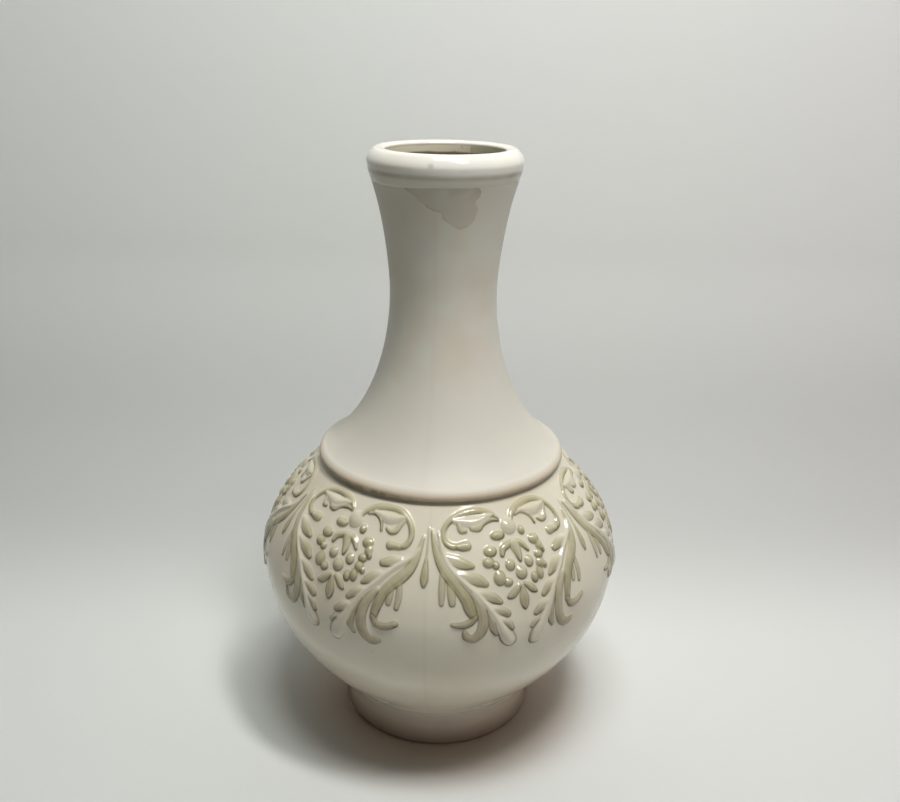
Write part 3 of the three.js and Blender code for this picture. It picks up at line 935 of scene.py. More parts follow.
class Wiring(Graph):
    """A material's node tree under construction."""

    def __init__(self, name: str) -> None:
        """Starts a material with an empty tree."""
        self.material = bpy.data.materials.new(name)
        self.material.use_nodes = True
        super().__init__(self.material.node_tree)
        self.tree.nodes.clear()
        self.place = self.add("ShaderNodeTexCoord", {})["Object"]
        self.apart = self.add("ShaderNodeSeparateXYZ", {0: self.place})
        self.level = self.math("DIVIDE", self.apart["Z"], MM)
        turn = self.math("ARCTAN2", self.apart["X"], self.times(self.apart["Y"], -1.0))
        self.turn = self.times(turn, 180 / math.pi)

    def ease(self, value, low: float, high: float) -> Socket:
        """Eases from 0 at low to 1 at high; low may be the larger."""
        flip = low > high
        first, last = (high, low) if flip else (low, high)
        inputs = {"Value": value, "From Min": first, "From Max": last,
                  "To Min": 1.0 if flip else 0.0, "To Max": 0.0 if flip else 1.0}
        return self.add("ShaderNodeMapRange", inputs, interpolation_type="SMOOTHSTEP")[0]

    def kept(self, name: str) -> Socket:
        """Reads an attribute kept on the mesh."""
        return self.add("ShaderNodeAttribute", {}, attribute_name=name)["Fac"]

    def noise(self, scale: float, detail: float = 2.0, stretch: Place = (1, 1, 1),
              shift: Place = (0, 0, 0)) -> Socket:
        """Adds soft noise.

        Args:
            scale: Waves in a metre.
            detail: How much finer noise is added.
            stretch: Scale along each axis.
            shift: Offset in metres.

        Returns:
            The noise, about one half.
        """
        laid = self.add("ShaderNodeMapping", {"Vector": self.place, "Location": shift, "Scale": stretch})[0]
        return self.add("ShaderNodeTexNoise", {"Vector": laid, "Scale": scale, "Detail": detail})["Fac"]

    def stray(self, scale: float, detail: float, reach: float) -> Socket:
        """Adds noise about nothing, with half its reach to either side."""
        return self.times(self.minus(self.noise(scale, detail), 0.5), reach)

    def blend(self, share, first, second) -> Socket:
        """Mixes two colours."""
        return self.add("ShaderNodeMix", {0: share, 6: first, 7: second}, data_type="RGBA")[2]

    def lay(self, colour, tone, share, strength) -> Socket:
        """Lays a tone over a colour, as much as a share times a strength."""
        return self.blend(self.times(share, strength), colour, tone)

    def patch(self, turn: float, level: float, half_turn: float, half_level: float, ragged: float,
              scale: float) -> Socket:
        """Measures how far a place is from the middle of an oval patch, as a share of its size.

        Args:
            turn: The middle's turn from the front, in degrees.
            level: The middle's level.
            half_turn: Half its width, in degrees.
            half_level: Half its height.
            ragged: How far its edge strays, as a share.
            scale: How fine the strays are, in waves a metre.

        Returns:
            0 in the middle and 1 at the edge.
        """
        shares = []
        for value, middle, half in ((self.turn, turn, half_turn), (self.level, level, half_level)):
            shares.append(self.math("POWER", self.math("DIVIDE", self.off(value, middle), half), 2.0))
        return self.plus(self.math("POWER", self.plus(*shares), 0.5), self.stray(scale, 3.0, ragged * 2))

    def specks(self, scale: float, size: float, shift: Place = (0, 0, 0)) -> Socket:
        """Scatters pinholes, few and small.

        Args:
            scale: Cells in a metre, at most one pinhole each.
            size: The largest pinhole, as a share of a cell.
            shift: Offset in metres.

        Returns:
            1 in a pinhole and 0 elsewhere.
        """
        laid = self.add("ShaderNodeMapping", {"Vector": self.place, "Location": shift})[0]
        cells = self.add("ShaderNodeTexVoronoi", {"Vector": laid, "Scale": scale})
        lot = self.add("ShaderNodeSeparateColor", {0: cells["Color"]})[0]
        reach = self.times(self.minus(lot, 1 - PINHOLE_SHARE), size / PINHOLE_SHARE)
        return self.math("GREATER_THAN", reach, cells["Distance"])

    def show(self, shader: Socket) -> bpy.types.Material:
        """Ends the material in a shader."""
        self.add("ShaderNodeOutputMaterial", {"Surface": shader})
        return self.material

    def shine(self, colour, roughness, relief, depth: float, gloss: float = 0.5) -> bpy.types.Material:
        """Finishes the material as glazed clay.

        Args:
            colour: Colour of the glaze over the clay.
            roughness: How dull the glaze is.
            relief: Fine height of the glaze.
            depth: The fine height's range, in millimetres.
            gloss: How strongly the surface mirrors, 0.5 for glass.

        Returns:
            The material.
        """
        bump = self.add("ShaderNodeBump", {"Height": relief, "Distance": depth * MM, "Strength": 1.0})[0]
        return self.show(self.add("ShaderNodeBsdfPrincipled", {
            "Base Color": colour, "Roughness": roughness, "IOR": 1.5, "Specular IOR Level": gloss,
            "Normal": bump})[0])


@dataclass(frozen=True)
class CreamGlaze:
    """The cream-white glaze that all the clay shares.

    Attributes:
        name: The material's name.
        cream: Its usual colour.
        warm: Its colour where it lies thin.
        cool: Its colour where it pools.
        mottle: Scale of the colour's wandering, in waves a metre.
        dullness: Roughness of the surface.
    """

    name: str
    cream: Colour = (0.70, 0.665, 0.585)
    warm: Colour = (0.66, 0.60, 0.50)
    cool: Colour = (0.66, 0.66, 0.60)
    mottle: float = 22.0
    dullness: float = 0.11

    def ground(self, w: Wiring) -> Socket:
        """Mixes the glaze's wandering cream."""
        warmth = w.ease(w.noise(self.mottle, 3.0), 0.42, 0.72)
        pooled = w.ease(w.noise(self.mottle * 1.7, 2.0, shift=(0.3, 0.1, 0.5)), 0.5, 0.8)
        return w.blend(pooled, w.blend(warmth, self.cream, self.warm), self.cool)

    def skin(self, w: Wiring) -> Socket:
        """Makes the fine orange-peel height of the glaze, broad waves with finer ones on them."""
        return w.lift(w.noise(600.0, 1.0), w.noise(70.0, 1.0), 0.06)

    def dull(self, w: Wiring) -> Socket:
        """Lets the shine wander a little."""
        return w.lift(w.noise(40.0, 3.0, shift=(0.7, 0.2, 0)), self.dullness * 0.65, self.dullness * 0.7)

    def seam(self, w: Wiring, turn: float, half: float) -> Socket:
        """Draws a faint upright mould seam at a turn from the front, in degrees."""
        return w.ease(w.off(w.turn, turn), half, 0.0)


@dataclass(frozen=True)
class ReliefGlaze(CreamGlaze):
    """The belly's glaze, with an olive stain on the raised clay that gathers brown at its edges, deeper low
    down partly as painted shade.
    """

    cream: Colour = (0.72, 0.67, 0.545)
    warm: Colour = (0.69, 0.615, 0.485)
    cool: Colour = (0.69, 0.65, 0.54)
    dullness: float = 0.06
    pale_olive: Colour = (0.40, 0.365, 0.20)
    deep_olive: Colour = (0.30, 0.25, 0.145)
    pale_line: Colour = (0.16, 0.13, 0.07)
    deep_line: Colour = (0.07, 0.05, 0.028)
    haze: Colour = (0.46, 0.43, 0.29)
    flare: Colour = (0.71, 0.635, 0.52)
    seam_tone: Colour = (0.36, 0.34, 0.27)
    hole: Colour = (0.07, 0.055, 0.035)

    def material(self) -> bpy.types.Material:
        """Builds the belly's material.

        Returns:
            The material; it reads wash, rim and halo from the mesh.
        """
        w = Wiring(self.name)
        wash, rim, halo = (w.kept(name) for name in KEPT_MAPS)
        # Stain and lines are deeper lower on the belly: partly the stain's own colour, partly painted shade
        # on faces turned from the light above.
        high = w.ease(w.level, 104.0, 146.0)
        colour = w.lay(self.ground(w), self.flare, w.ease(w.level, 36.0, 20.0), 0.8)
        colour = w.lay(colour, self.haze, halo, w.lift(w.noise(150.0, 2.0), 0.08, 0.30))
        olive = w.blend(high, self.deep_olive, self.pale_olive)
        colour = w.lay(colour, olive, wash, w.lift(w.noise(230.0, 3.0), 0.66, 0.68))
        patchy = w.ease(w.noise(120.0, 2.0, shift=(0.2, 0.9, 0.4)), 0.3, 0.7)
        line = w.blend(high, self.deep_line, self.pale_line)
        colour = w.lay(colour, line, w.ease(rim, 0.05, 0.55), w.lift(patchy, 0.42, 0.5))
        colour = w.lay(colour, self.seam_tone, self.seam(w, -3.8, 1.1), 0.07)
        colour = w.lay(colour, self.hole, w.specks(62.0, 0.03), 0.75)
        return w.shine(colour, self.dull(w), self.skin(w), 0.10)


@dataclass(frozen=True)
class NeckGlaze(CreamGlaze):
    """The neck's glaze: a brown skirt edge and a darker tan under the lip, both partly painted shade; a
    water stain under the lip and a few pinholes.
    """

    brown: Colour = (0.13, 0.09, 0.05)
    beige: Colour = (0.66, 0.53, 0.375)
    tan: Colour = (0.43, 0.375, 0.27)
    streak: Colour = (0.52, 0.47, 0.36)
    bell: Colour = (0.60, 0.575, 0.505)
    under_lip_tan_and_shade: Colour = (0.50, 0.45, 0.36)
    stain: Colour = (0.37, 0.305, 0.22)
    stain_rim: Colour = (0.25, 0.205, 0.14)
    skirt_level: float = 160.0
    roughness: float = 0.42
    gloss: float = 0.35

    def material(self) -> bpy.types.Material:
        """Builds the neck's material.

        Returns:
            The material; it reads tone, 1 on the inside, and spill from the mesh.
        """
        w = Wiring(self.name)
        colour = w.lay(self.ground(w), self.bell, w.ease(w.level, 240.0, 186.0), 0.6)
        # Darker tan high on the neck under the lip, more so on the left: partly the glaze's own tan, partly
        # painted shade under the lip and on the side away from the light.
        left = w.lift(w.ease(w.turn, 4.0, -30.0), 0.1, 0.3)
        colour = w.lay(colour, self.under_lip_tan_and_shade, w.ease(w.level, 262.0, 312.0), left)
        colour = self._water_stain(w, colour)
        colour = w.lay(colour, self.tan, self.seam(w, -8.0, 4.0), 0.05)
        colour = self._skirt_edge_stain_and_shade(w, colour)
        colour = w.lay(colour, self.brown, w.specks(48.0, 0.045, (0.31, 0.12, 0.0)), 0.7)
        colour = w.blend(w.kept("tone"), colour, self._inside(w))
        return w.shine(colour, w.plus(self.dull(w), self.roughness), self.skin(w), 0.12, self.gloss)

    def _water_stain(self, w: Wiring, colour: Socket) -> Socket:
        """Lays the dried water stain under the lip over a colour.

        Args:
            w: The material's wiring.
            colour: The colour under the stain.

        Returns:
            The stained colour.
        """
        inward = w.plus(w.kept("spill"), w.stray(210.0, 3.0, 3.2))
        upper = w.times(w.ease(w.level, 303.0, 313.0), w.ease(w.noise(90.0, 2.0), 0.3, 0.7))
        colour = w.lay(colour, self.stain, w.ease(inward, -0.5, 0.6), w.lift(upper, 0.3, 0.42))
        patchy = w.ease(w.noise(260.0, 2.0, shift=(0.4, 0.0, 0.1)), 0.36, 0.66)
        strong = w.lift(patchy, 0.06, w.lift(w.ease(w.turn, 4.0, -14.0), 0.25, 0.2))
        return w.lay(colour, self.stain_rim, w.ease(w.off(inward, 0.35), 0.45, 0.0), strong)

    def _skirt_edge_stain_and_shade(self, w: Wiring, colour: Socket) -> Socket:
        """Darkens the skirt's edge towards its foot, more so on the left: brown stain and painted shade on
        the turned-under edge.

        Args:
            w: The material's wiring.
            colour: The colour above the edge.

        Returns:
            The darkened colour.
        """
        level = w.plus(w.minus(w.level, self.skirt_level), w.stray(26.0, 2.0, 2.4))
        left = w.ease(w.turn, -6.0, -34.0)
        colour = w.lay(colour, self.beige, w.ease(level, 6.4, 2.7), w.lift(left, 0.75, 0.2))
        # Painted shade with brown stain: darkest near the edge's foot and on the left.
        dark = w.times(w.ease(level, 4.2, 1.0), w.lift(left, 0.3, 0.5))
        mottled = w.ease(w.noise(240.0, 3.0, (1, 1, 0.5)), 0.35, 0.7)
        colour = w.lay(colour, self.brown, dark, w.lift(mottled, 0.55, 0.45))
        pale = w.ease(w.off(level, 2.7), 0.55, 0.0)
        colour = w.lay(colour, self.tan, w.times(pale, left), 0.55)
        # A thin brown line at the very foot of the edge, partly stain and partly painted shade where it
        # turns under.
        foot = w.ease(w.level, self.skirt_level + 0.9, self.skirt_level + 0.3)
        return w.lay(colour, self.brown, foot, 0.3)

    def _inside(self, w: Wiring) -> Socket:
        """Mixes the tan of the inner wall, paler under the lip."""
        wall = w.blend(w.ease(w.noise(60.0, 3.0, (1, 1, 0.3)), 0.35, 0.7), self.tan, self.streak)
        return w.lay(wall, self.beige, w.ease(w.level, 306.0, 311.5), 0.4)


@dataclass(frozen=True)
class LipGlaze(CreamGlaze):
    """The lip's glaze: clean cream on the roll, paler partly as painted light and darker underneath partly
    as painted shade, with a dark line where it meets the inner wall.
    """

    # Paler than the neck's cream: partly cleaner glaze, partly painted light on the roll's face.
    cream: Colour = (0.84, 0.805, 0.73)
    warm: Colour = (0.81, 0.755, 0.66)
    cool: Colour = (0.80, 0.79, 0.735)
    brown: Colour = (0.12, 0.09, 0.055)
    tan: Colour = (0.82, 0.76, 0.60)
    green: Colour = (0.50, 0.51, 0.38)
    # Underside tone and ring: partly the neck's tan and stain, partly painted shade under the roll.
    under: Colour = (0.64, 0.60, 0.515)
    ring: Colour = (0.25, 0.20, 0.13)
    smudge: Colour = (0.30, 0.27, 0.20)
    crack: float = 155.0
    ring_level: float = 316.2
    deep_level: float = 320.9
    line_level: float = 325.1

    def material(self) -> bpy.types.Material:
        """Builds the lip's material.

        Returns:
            The material; it reads tone from the mesh, 1 on the inner face.
        """
        w = Wiring(self.name)
        # Painted shade with stain: the roll's underside darkens towards the neck's tan, with a ragged brown
        # ring where it turns under.
        colour = w.lay(self.ground(w), self.under, w.ease(w.level, 318.8, 315.6), 0.95)
        ring = w.ease(w.off(w.level, self.ring_level), 2.2, 0.0)
        colour = w.lay(colour, self.ring, ring, w.lift(w.noise(120.0, 3.0, (1, 1, 0.5)), 0.12, 0.5))
        smudge = w.ease(w.patch(-10.0, 322.0, 2.6, 1.7, 0.3, 300.0), 1.2, 0.3)
        colour = w.lay(colour, self.smudge, smudge, 0.35)
        inner = w.kept("tone")
        colour = w.lay(colour, self._wall(w), inner, w.ease(w.level, 325.6, 324.6))
        away = w.off(w.plus(w.level, w.stray(90.0, 2.0, 0.9)), self.line_level)
        colour = w.lay(colour, self.brown, w.times(inner, w.ease(away, 0.75, 0.2)), 0.75)
        return w.shine(colour, self.dull(w), self.skin(w), 0.08)

    def _wall(self, w: Wiring) -> Socket:
        """Mixes the inner face: tan, greenish up to a crack, with brown specks and a ragged brown line."""
        greened = w.times(w.ease(w.turn, 20.0, 60.0), w.ease(w.turn, self.crack + 0.7, self.crack - 0.7))
        wall = w.lay(self.tan, self.green, greened, 0.8)
        wall = w.lay(wall, self.cream, w.ease(w.off(w.turn, self.crack), 0.9, 0.3), 0.7)
        spot = w.ease(w.patch(168.0, 323.3, 6.0, 2.2, 0.4, 240.0), 1.1, 0.4)
        speckled = w.ease(w.noise(420.0, 3.0), 0.5, 0.66)
        wall = w.lay(wall, self.brown, w.times(spot, speckled), 0.85)
        ragged = w.lift(w.noise(70.0, 2.0, shift=(0.1, 0.1, 0)), w.level, 1.6)
        return w.lay(wall, self.brown, w.ease(w.off(ragged, self.deep_level), 1.7, 0.5), 0.85)


@dataclass(frozen=True)
class FootGlaze(CreamGlaze):
    """The foot's glaze, worn through to bare clay at its resting edge, darker towards the floor as painted
    shade.
    """

    cream: Colour = (0.68, 0.55, 0.45)
    warm: Colour = (0.61, 0.48, 0.385)
    cool: Colour = (0.63, 0.53, 0.44)
    clay: Colour = (0.36, 0.26, 0.19)
    # Painted shade colour for the foot's lower part.
    shade: Colour = (0.36, 0.26, 0.20)
    top: Colour = (0.70, 0.62, 0.505)

    def material(self) -> bpy.types.Material:
        """Builds the foot's material."""
        w = Wiring(self.name)
        worn = w.ease(w.minus(w.level, w.times(w.noise(90.0, 2.0), 1.4)), 1.0, 0.1)
        colour = w.blend(w.ease(w.level, 9.0, 19.0), self.ground(w), self.top)
        colour = w.lay(colour, self.clay, worn, 0.8)
        # Painted shade: darker towards the floor, where the foot stands in the belly's shadow.
        colour = w.lay(colour, self.shade, w.ease(w.level, 13.0, 0.0), 0.75)
        return w.shine(colour, w.plus(self.dull(w), w.times(worn, 0.5)), self.skin(w), 0.12)


@dataclass
class Belly:
    """The belly: six glazed repeats outside, and the clay wall with its floor and collar inside them.

    Attributes:
        sizes: The vase's outline.
        columns: Steps across a repeat.
        fine_step: Distance between rows in the ornament.
        plain_step: Distance between rows below it.
        tuck: How far the glaze runs in under the neck's skirt.
        clay_segments: Steps round the clay wall.
        skin: How far the clay wall lies behind the glaze.
        floor: Level of the floor inside.
        boss_reach: Radius of the boss in the foot ring.
        boss_top: Level of the step from the boss out to the foot ring.
        sway: How far the wall strays between repeats.
        ripple: How far it strays from level to level.
    """

    sizes: VaseSizes
    columns: int = 300
    fine_step: float = 0.36
    plain_step: float = 1.5
    tuck: float = 3.5
    clay_segments: int = 144
    skin: float = 0.9
    floor: float = 29.0
    boss_reach: float = 44.8
    boss_top: float = 22.6
    sway: float = 0.07
    ripple: float = 0.05

    def build(self) -> None:
        """Makes the six repeats and the clay wall."""
        relief = Relief()
        finish = ReliefGlaze("belly_glaze").material()
        master = self._panel(relief)
        tree = sector_tree()
        for i in range(REPEATS):
            turn = math.radians(FIRST_TURN) + i * math.tau / REPEATS
            piece = grow(f"belly_glaze_{i + 1}", tree, {"Panel": master, "Turn": turn, "Finish": finish})
            settle(piece, [f"{sprig}_{i + 1}" for sprig in SPRIGS])
        bpy.data.objects.remove(master)
        self._clay()

    def _border(self, down: np.ndarray) -> np.ndarray:
        """Runs a repeat's left edge between the frond and the bud of the repeat before it."""
        return 1.05 + 2.35 * smooth_step(down, 22.0, 30.0)

    def _outline(self) -> np.ndarray:
        """Follows the belly's face from under the skirt down to the foot."""
        upper = self.sizes.upper_belly(400)[::-1]
        lower = self.sizes.lower_belly(400)[::-1]
        under = self.sizes.under_belly(24)[::-1]
        return np.concatenate([upper, lower[1:], under[1:]])

    def _panel(self, relief: Relief) -> bpy.types.Object:
        """Lays one repeat of the relief on the belly's outline.

        Args:
            relief: The ornament's maps.

        Returns:
            The hidden master of one repeat, facing the front.
        """
        line = self._outline()
        run = np.concatenate([[0.0], np.cumsum(np.hypot(*np.diff(line, axis=0).T))])
        slope = np.gradient(line, run, axis=0)
        slope /= np.linalg.norm(slope, axis=1)[:, None]
        down = np.concatenate([
            np.arange(0.0, relief.depth, self.fine_step),
            np.arange(relief.depth, run[-1], self.plain_step), [run[-1]]])
        radius, level = np.interp(down, run, line[:, 0]), np.interp(down, run, line[:, 1])
        out = np.stack([-np.interp(down, run, slope[:, 1]), np.interp(down, run, slope[:, 0])], axis=1)
        out /= np.linalg.norm(out, axis=1)[:, None]
        seat = np.linspace(self.tuck, 0.0, 8)[:-1]
        down = np.concatenate([-seat, down])
        radius = np.concatenate([self.sizes.seat_reach - seat, radius])
        level = np.concatenate([np.full(len(seat), self.sizes.seat_level - 0.15), level])
        out = np.concatenate([np.tile([0.0, 1.0], (len(seat), 1)), out])
        start = self._border(down)[:, None] - relief.width / 2
        across = start + np.linspace(0.0, relief.width, self.columns + 1)[None, :]
        deep = np.repeat(down[:, None], self.columns + 1, axis=1)
        height = relief.read("height", across, deep) * smooth_step(deep, 0.0, 2.0)
        turn = across / relief.width * math.tau / REPEATS
        uneven = self.sway * np.sin(turn * REPEATS + deep * 0.11) + self.ripple * np.sin(deep * 0.19 + 1.0)
        height = height + uneven * smooth_step(deep, 2.0, 12.0)
        r = radius[:, None] + out[:, :1] * height
        z = level[:, None] + out[:, 1:] * height
        places = np.stack([r * np.sin(turn), -r * np.cos(turn), z], axis=-1) * MM
        tones = {name: relief.read(name, across, deep) for name in KEPT_MAPS}
        return link("belly_repeat", grid_mesh("belly_repeat", places, tones))

    def _clay(self) -> None:
        """Turns the clay wall, with its floor inside and the boss below."""
        s = self.sizes
        collar_reach, collar_bore, floor = s.skirt_bore - 0.4, s.skirt_bore - 5.0, self.floor
        flank = np.concatenate([s.lower_belly(40), s.upper_belly(40)[1:]])
        outside = inset(flank, self.skin)
        outside = outside[outside[:, 1] < s.seat_level - 1.5]
        inside = inset(flank, s.belly_wall)
        inside = inside[(inside[:, 1] > floor + 1) & (inside[:, 1] < s.seat_level - 7.0)][::-1]
        points = np.concatenate([
            [(0.0, s.belly_boss), (self.boss_reach, s.belly_boss), (self.boss_reach, self.boss_top),
             (s.under_start[0] + 0.8, self.boss_top)],
            outside,
            [(s.seat_reach - 1.6, s.seat_level - 0.9), (collar_reach, s.seat_level - 0.6),
             (collar_reach, s.collar_top), (collar_bore, s.collar_top), (collar_bore, s.seat_level - 6.2)],
            inside,
            [(inside[-1][0] - 4.0, floor), (0.0, floor)],
        ])
        finish = NeckGlaze("inner_glaze").material()
        piece = turn_piece("belly_clay", points, np.ones(len(points)), finish, 1.0, self.clay_segments)
        settle(piece, ["belly_bowl", "belly_shoulder"])


def depth_inside(outline: tuple[Point, ...], places: np.ndarray) -> np.ndarray:
    """Measures how far places lie inside a closed flat outline.

    Args:
        outline: The outline's corners.
        places: One place in each row.

    Returns:
        The distance to the outline, negative outside it.
    """
    start = np.array(outline, float)
    span = np.roll(start, -1, axis=0) - start
    apart = places[:, None, :] - start[None, :, :]
    share = np.clip((apart * span).sum(2) / (span * span).sum(1), 0.0, 1.0)
    away = np.linalg.norm(apart - share[..., None] * span, axis=2).min(axis=1)
    crossed = (apart[..., 1] >= 0) != (apart[..., 1] >= span[:, 1])
    rising = np.where(np.abs(span[:, 1]) < 1e-9, 1e-9, span[:, 1])
    beyond = apart[..., 0] < span[:, 0] * apart[..., 1] / rising
    inside = (crossed & beyond).sum(axis=1) % 2 == 1
    return np.where(inside, away, -away)


@dataclass
class Neck:
    """The neck: a bell that flares to a rounded skirt, and a throat that opens to the lip.

    Attributes:
        sizes: The vase's outline.
        wobble: How far the turned wall strays, in metres.
        spill_level: Level whose radius turns the stain's degrees into millimetres.
        spill: The water stain's outline, by turn from the front and level.
    """

    sizes: VaseSizes
    wobble: float = 0.0004
    spill_level: float = 300.0
    spill: tuple[Point, ...] = (
        (1, 317), (14, 316), (22, 315), (28, 310), (27, 307), (24, 305), (26.5, 302), (26.5, 296), (22, 293),
        (14, 290.5), (6.5, 292), (0, 295.5), (-3, 299), (-12, 301), (-18, 304), (-25, 308), (-30, 309.5),
        (-33, 312), (-38, 311.5), (-46, 310), (-48, 313), (-32, 315.5), (-16, 317),
    )

    def build(self) -> None:
        """Turns the neck's outline and dresses it."""
        s = self.sizes
        outer = np.concatenate([s.skirt(16), s.flare(90)[1:], s.throat(60)[1:]])
        # A ring just below the top corner keeps the corner's shading off the wall.
        crisp = outer[-1] + (outer[-2] - outer[-1]) * 0.04
        outer = np.insert(outer, -1, crisp, axis=0)
        inner = inset(np.concatenate([s.flare_under(50), s.throat(40)[1:]]), s.neck_wall)[::-1]
        inner = inner[(inner[:, 0] < s.skirt_bore) & (inner[:, 1] < s.throat_level - 0.3)]
        points = np.concatenate([
            [(s.skirt_bore, s.skirt_level)],
            outer,
            [(s.throat_reach - s.neck_wall, s.throat_level)],
            inner,
            [(s.skirt_bore, inner[-1][1]), (s.skirt_bore, s.skirt_level)],
        ])
        tones = np.zeros(len(points))
        tones[1 + len(outer):] = 1.0
        finish = NeckGlaze("neck_glaze").material()
        piece = turn_piece("neck_glaze", points, tones, finish, 3.0, wobble=self.wobble)
        self._keep_spill(piece.data)
        settle(piece, ["neck_bell", "neck_throat"])

    def _keep_spill(self, mesh: bpy.types.Mesh) -> None:
        """Keeps each point's depth inside the water stain on the mesh."""
        x, y, z = point_places(mesh).T
        degree = math.radians(self.sizes.neck_radius(self.spill_level))
        turns = np.degrees(np.arctan2(x, -y))
        outline = tuple((turn * degree, level) for turn, level in self.spill)
        depth = depth_inside(outline, np.stack([turns * degree, z / MM], axis=1))
        keep_values(mesh, "spill", np.clip(depth, -20.0, 20.0))


@dataclass
class Lip:
    """The rolled lip, with a soft hollow where its underside runs into the neck."""

    sizes: VaseSizes

    def build(self) -> None:
        """Turns the lip's outline and dresses it."""
        s = self.sizes
        widest, inmost = s.lip_level + s.lip_widest_rise, s.lip_level + s.lip_inner_rise
        crown = (s.lip_reach - s.lip_crown, s.lip_top)
        joint = (s.throat_reach + 0.03, s.throat_level + 0.05)
        # The roll starts inside the neck, so that no edge of it shows at the joint.
        hidden = (joint[0] - 1.6, joint[1] - 4.0)
        throat_in = s.throat_reach - s.neck_wall
        rise = np.concatenate([[hidden], bend(joint, (0.33, 0.2), (0, 0.34), (s.lip_reach, widest), 18)])
        outer = bend((s.lip_reach, widest), (0, 0.36), (0.4, 0), crown, 18)
        inner = bend(crown, (0.7, 0), (0, 0.6), (s.lip_reach - s.lip_width, inmost), 20)
        fall = bend((s.lip_reach - s.lip_width, inmost), (0, 0.5), (0.4, 0.2), (throat_in, s.lip_level), 16)
        points = np.concatenate([rise, outer[1:], inner[1:], fall[1:], [hidden]])
        tones = np.zeros(len(points))
        tones[len(rise) + len(outer) + len(inner) - 2:-1] = 1.0
        piece = turn_piece("lip_glaze", points, tones, LipGlaze("lip_glaze").material(), 5.0)
        settle(piece, ["lip_roll"])


@dataclass
class Foot:
    """The foot ring, flaring softly into the belly above."""

    sizes: VaseSizes

    def build(self) -> None:
        """Turns the foot's outline and dresses it."""
        s = self.sizes
        bore, rest = s.foot_reach - s.foot_wall, s.foot_reach - s.foot_edge
        edge, shoulder = (s.foot_reach, s.foot_edge), (s.foot_reach - s.foot_taper, s.foot_shoulder)
        low = bend((rest, 0.0), (0.55, 0), (0, 0.55), edge, 8)
        side = bend(edge, (1.0, 0.35), (0.6, 0.15), shoulder, 14)
        meeting = (s.under_start[0] + 0.02, s.under_start[1] + 0.4)
        flare = bend(side[-1], (0.0, 0.5), (0.12, 0.3), meeting, 14)
        ends = [(bore - 0.9, s.foot_height), (bore, 0.0)]
        points = np.concatenate([[(bore, 0.0)], low, side[1:], flare[1:], ends])
        finish = FootGlaze("foot_glaze").material()
        piece = turn_piece("foot_glaze", points, np.zeros(len(points)), finish, 7.0)
        settle(piece, ["foot_ring"])


@dataclass(frozen=True)
class Lamp:
    """A rectangular soft lamp.

    Attributes:
        name: The lamp's name.
        place: Where it hangs, in metres.
        size: Its width and height.
        watts: Its power.
        colour: Its light's colour.
    """

    name: str
    place: Place
    size: tuple[float, float]
    watts: float
    colour: Colour

    def hang(self, target: Place) -> None:
        """Hangs the lamp so that it points at a target."""
        light = bpy.data.lights.new(self.name, "AREA")
        light.shape = "RECTANGLE"
        light.size, light.size_y = self.size
        light.energy = self.watts
        light.color = self.colour
        lamp = link(self.name, light)
        lamp.location = self.place
        lamp.rotation_euler = (Vector(target) - Vector(self.place)).to_track_quat("-Z", "Y").to_euler()


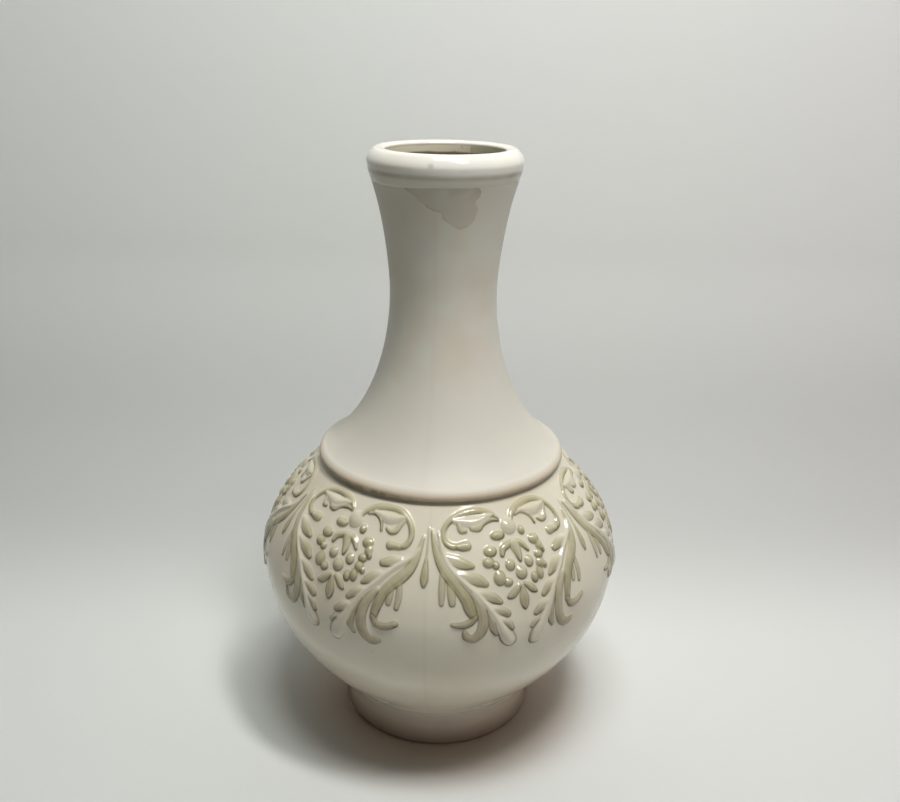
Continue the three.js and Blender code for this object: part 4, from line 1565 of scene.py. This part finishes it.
@dataclass
class Studio:
    """A pale sweep, soft light from above and a camera in front, a little above the lip.

    Attributes:
        focal: Focal length in pixels of the picture.
        tilt: How far the camera looks down, in degrees.
        pan: How far it looks to the right, in degrees.
        roll: How far it is turned about its own axis, in degrees.
        eye: The camera's place in millimetres.
        picture_width: The picture's width in pixels.
        wall: How far behind the vase the sweep stands upright, in metres.
        sweep_radius: Radius of its bend.
        room_light: Strength of the light that comes from the room.
        room_seen: How bright the room looks to the camera.
        room_tint: Colour of the room.
        paper_left: Colour of the sweep on the left, cooler and a little darker there as painted light.
        paper_right: Its colour on the right, warmer and a little brighter as painted light.
        painted_shadow_tint: Warm brown painted round the foot, a painted shadow tint for light bounced into
            the contact shadow.
        aim: What the lamps point at.
        lamps: The lamps.
    """

    focal: float = 968.1
    tilt: float = 20.72
    pan: float = 0.53
    roll: float = 1.07
    eye: Place = (0.0, -503.8, 380.0)
    picture_width: float = 900.0
    wall: float = 0.36
    sweep_radius: float = 0.2
    room_light: float = 0.014
    room_seen: float = 0.62
    room_tint: Colour = (0.97, 1.0, 0.98)
    paper_left: Colour = (0.705, 0.725, 0.70)
    paper_right: Colour = (0.74, 0.735, 0.725)
    painted_shadow_tint: Colour = (0.62, 0.51, 0.43)
    aim: Place = (0.0, 0.0, 0.15)
    lamps: tuple[Lamp, ...] = (
        Lamp("key", (-0.01, -0.26, 1.3), (0.32, 0.3), 5.3, (0.985, 1.0, 0.985)),
        Lamp("key_side", (0.26, -0.28, 1.28), (0.12, 0.3), 7.2, (1.0, 0.992, 0.965)),
        Lamp("near", (0.2, -0.3, 0.85), (0.15, 0.15), 0.75, (1.0, 1.0, 0.98)),
        Lamp("right", (1.0, -0.35, 0.45), (0.6, 0.6), 0.5, (1.0, 0.97, 0.94)),
        Lamp("front", (0.3, -1.5, 0.45), (1.0, 0.6), 0.6, (1.0, 1.0, 1.0)),
    )

    def build(self) -> None:
        """Sets up the sweep, the lamps, the world and the camera."""
        self._sweep()
        for lamp in self.lamps:
            lamp.hang(self.aim)
        self._world()
        self._camera()
        bpy.context.scene.view_settings.view_transform = "Standard"

    def _sweep(self) -> None:
        """Makes the floor that curves up into the wall."""
        radius, front, near, high, half = self.sweep_radius, -2.5, -0.5, 2.6, 3.0
        arc = [(self.wall - radius + radius * math.sin(a), radius - radius * math.cos(a))
               for a in np.linspace(0, math.pi / 2, 25)]
        line = [(front, 0.0), (near, 0.0), *arc, (self.wall, high)]
        verts = [(x, y, z) for x in (-half, half) for y, z in line]
        count = len(line)
        mesh = bpy.data.meshes.new("sweep")
        mesh.from_pydata(verts, [], [(i, count + i, count + i + 1, i + 1) for i in range(count - 1)])
        mesh.shade_smooth()
        sweep = link("sweep", mesh)
        sweep.data.materials.append(self._paper())

    def _paper(self) -> bpy.types.Material:
        """Makes the sweep's pale paper.

        Returns:
            The material: cooler on the left, warmer on the right, brown round the foot, darker at the bend
                and brighter up the wall, all painted light and shade; a pale room far out, clear from
                behind.
        """
        w = Wiring("paper")
        x, y, z = (w.apart[axis] for axis in "XYZ")
        away = w.math("SQRT", w.plus(w.times(x, x), w.times(y, y)))
        # Painted light: cooler and a little darker on the left, warmer on the right.
        tint = w.blend(w.ease(x, -0.45, 0.45), self.paper_left, self.paper_right)
        # Painted shadow: warm brown close round the foot.
        tint = w.blend(w.ease(away, 0.105, 0.05), tint, self.painted_shadow_tint)
        # Painted light and shade: darker at the bend and towards the front and right, brighter up the wall.
        bent = w.times(w.ease(y, 0.04, 0.24), w.ease(z, 0.19, 0.05))
        share = w.lift(w.ease(z, 0.06, 0.24), w.minus(1.0, w.times(bent, 0.19)), 0.13)
        share = w.minus(share, w.times(w.ease(y, 0.08, -0.12), 0.07))
        share = w.minus(share, w.times(w.ease(x, 0.08, 0.4), 0.03))
        grain = w.minus(1.02, w.times(w.noise(700.0, 3.0), 0.04))
        shaded = {0: tint, "Scale": w.times(share, grain)}
        colour = w.add("ShaderNodeVectorMath", shaded, operation="SCALE")[0]
        paper = w.add("ShaderNodeBsdfPrincipled", {
            "Base Color": colour, "Roughness": 0.85, "Specular IOR Level": 0.2})[0]
        glow = w.add("ShaderNodeEmission", {"Color": self.room_tint, "Strength": self.room_seen})[0]
        far = w.times(w.ease(away, 0.75, 1.35), w.add("ShaderNodeLightPath", {})["Is Camera Ray"])
        front = w.add("ShaderNodeMixShader", {0: far, 1: paper, 2: glow})[0]
        behind = w.add("ShaderNodeNewGeometry", {})["Backfacing"]
        clear = w.add("ShaderNodeBsdfTransparent", {})[0]
        return w.show(w.add("ShaderNodeMixShader", {0: behind, 1: front, 2: clear})[0])

    def _world(self) -> None:
        """Fills the room with faint light, and shows the camera a pale room past the sweep's edges."""
        world = bpy.data.worlds.new("room")
        world.use_nodes = True
        bpy.context.scene.world = world
        room = Graph(world.node_tree)
        room.tree.nodes.clear()
        seen = room.add("ShaderNodeLightPath", {})["Is Camera Ray"]
        strength = room.add("ShaderNodeMapRange", {
            "Value": seen, "To Min": self.room_light, "To Max": self.room_seen})[0]
        sky = room.add("ShaderNodeBackground", {"Color": self.room_tint, "Strength": strength})[0]
        room.add("ShaderNodeOutputWorld", {"Surface": sky})

    def _camera(self) -> None:
        """Sets the camera at the photograph's angle."""
        tilt, pan, roll = (math.radians(v) for v in (self.tilt, self.pan, self.roll))
        forward = Vector((math.sin(pan) * math.cos(tilt), math.cos(pan) * math.cos(tilt), -math.sin(tilt)))
        flat_right = Vector((math.cos(pan), -math.sin(pan), 0.0))
        flat_up = flat_right.cross(forward)
        right = flat_right * math.cos(roll) + flat_up * math.sin(roll)
        up = flat_up * math.cos(roll) - flat_right * math.sin(roll)
        data = bpy.data.cameras.new("camera")
        data.sensor_fit = "HORIZONTAL"
        data.sensor_width = 36.0
        data.lens = self.focal / self.picture_width * data.sensor_width
        data.clip_start = 0.01
        camera = link("camera", data)
        turn = Matrix((right, up, -forward)).transposed()
        camera.matrix_world = Matrix.Translation(Vector(self.eye) * MM) @ turn.to_4x4()
        bpy.context.scene.camera = camera


def main() -> None:
    """Builds the vase from the foot up, then the studio."""
    logging.basicConfig(level=logging.INFO, format="%(name)s: %(message)s")
    sizes = VaseSizes()
    for part in (Foot(sizes), Belly(sizes), Neck(sizes), Lip(sizes)):
        part.build()
    Studio().build()


if __name__ == "__main__":
    main()
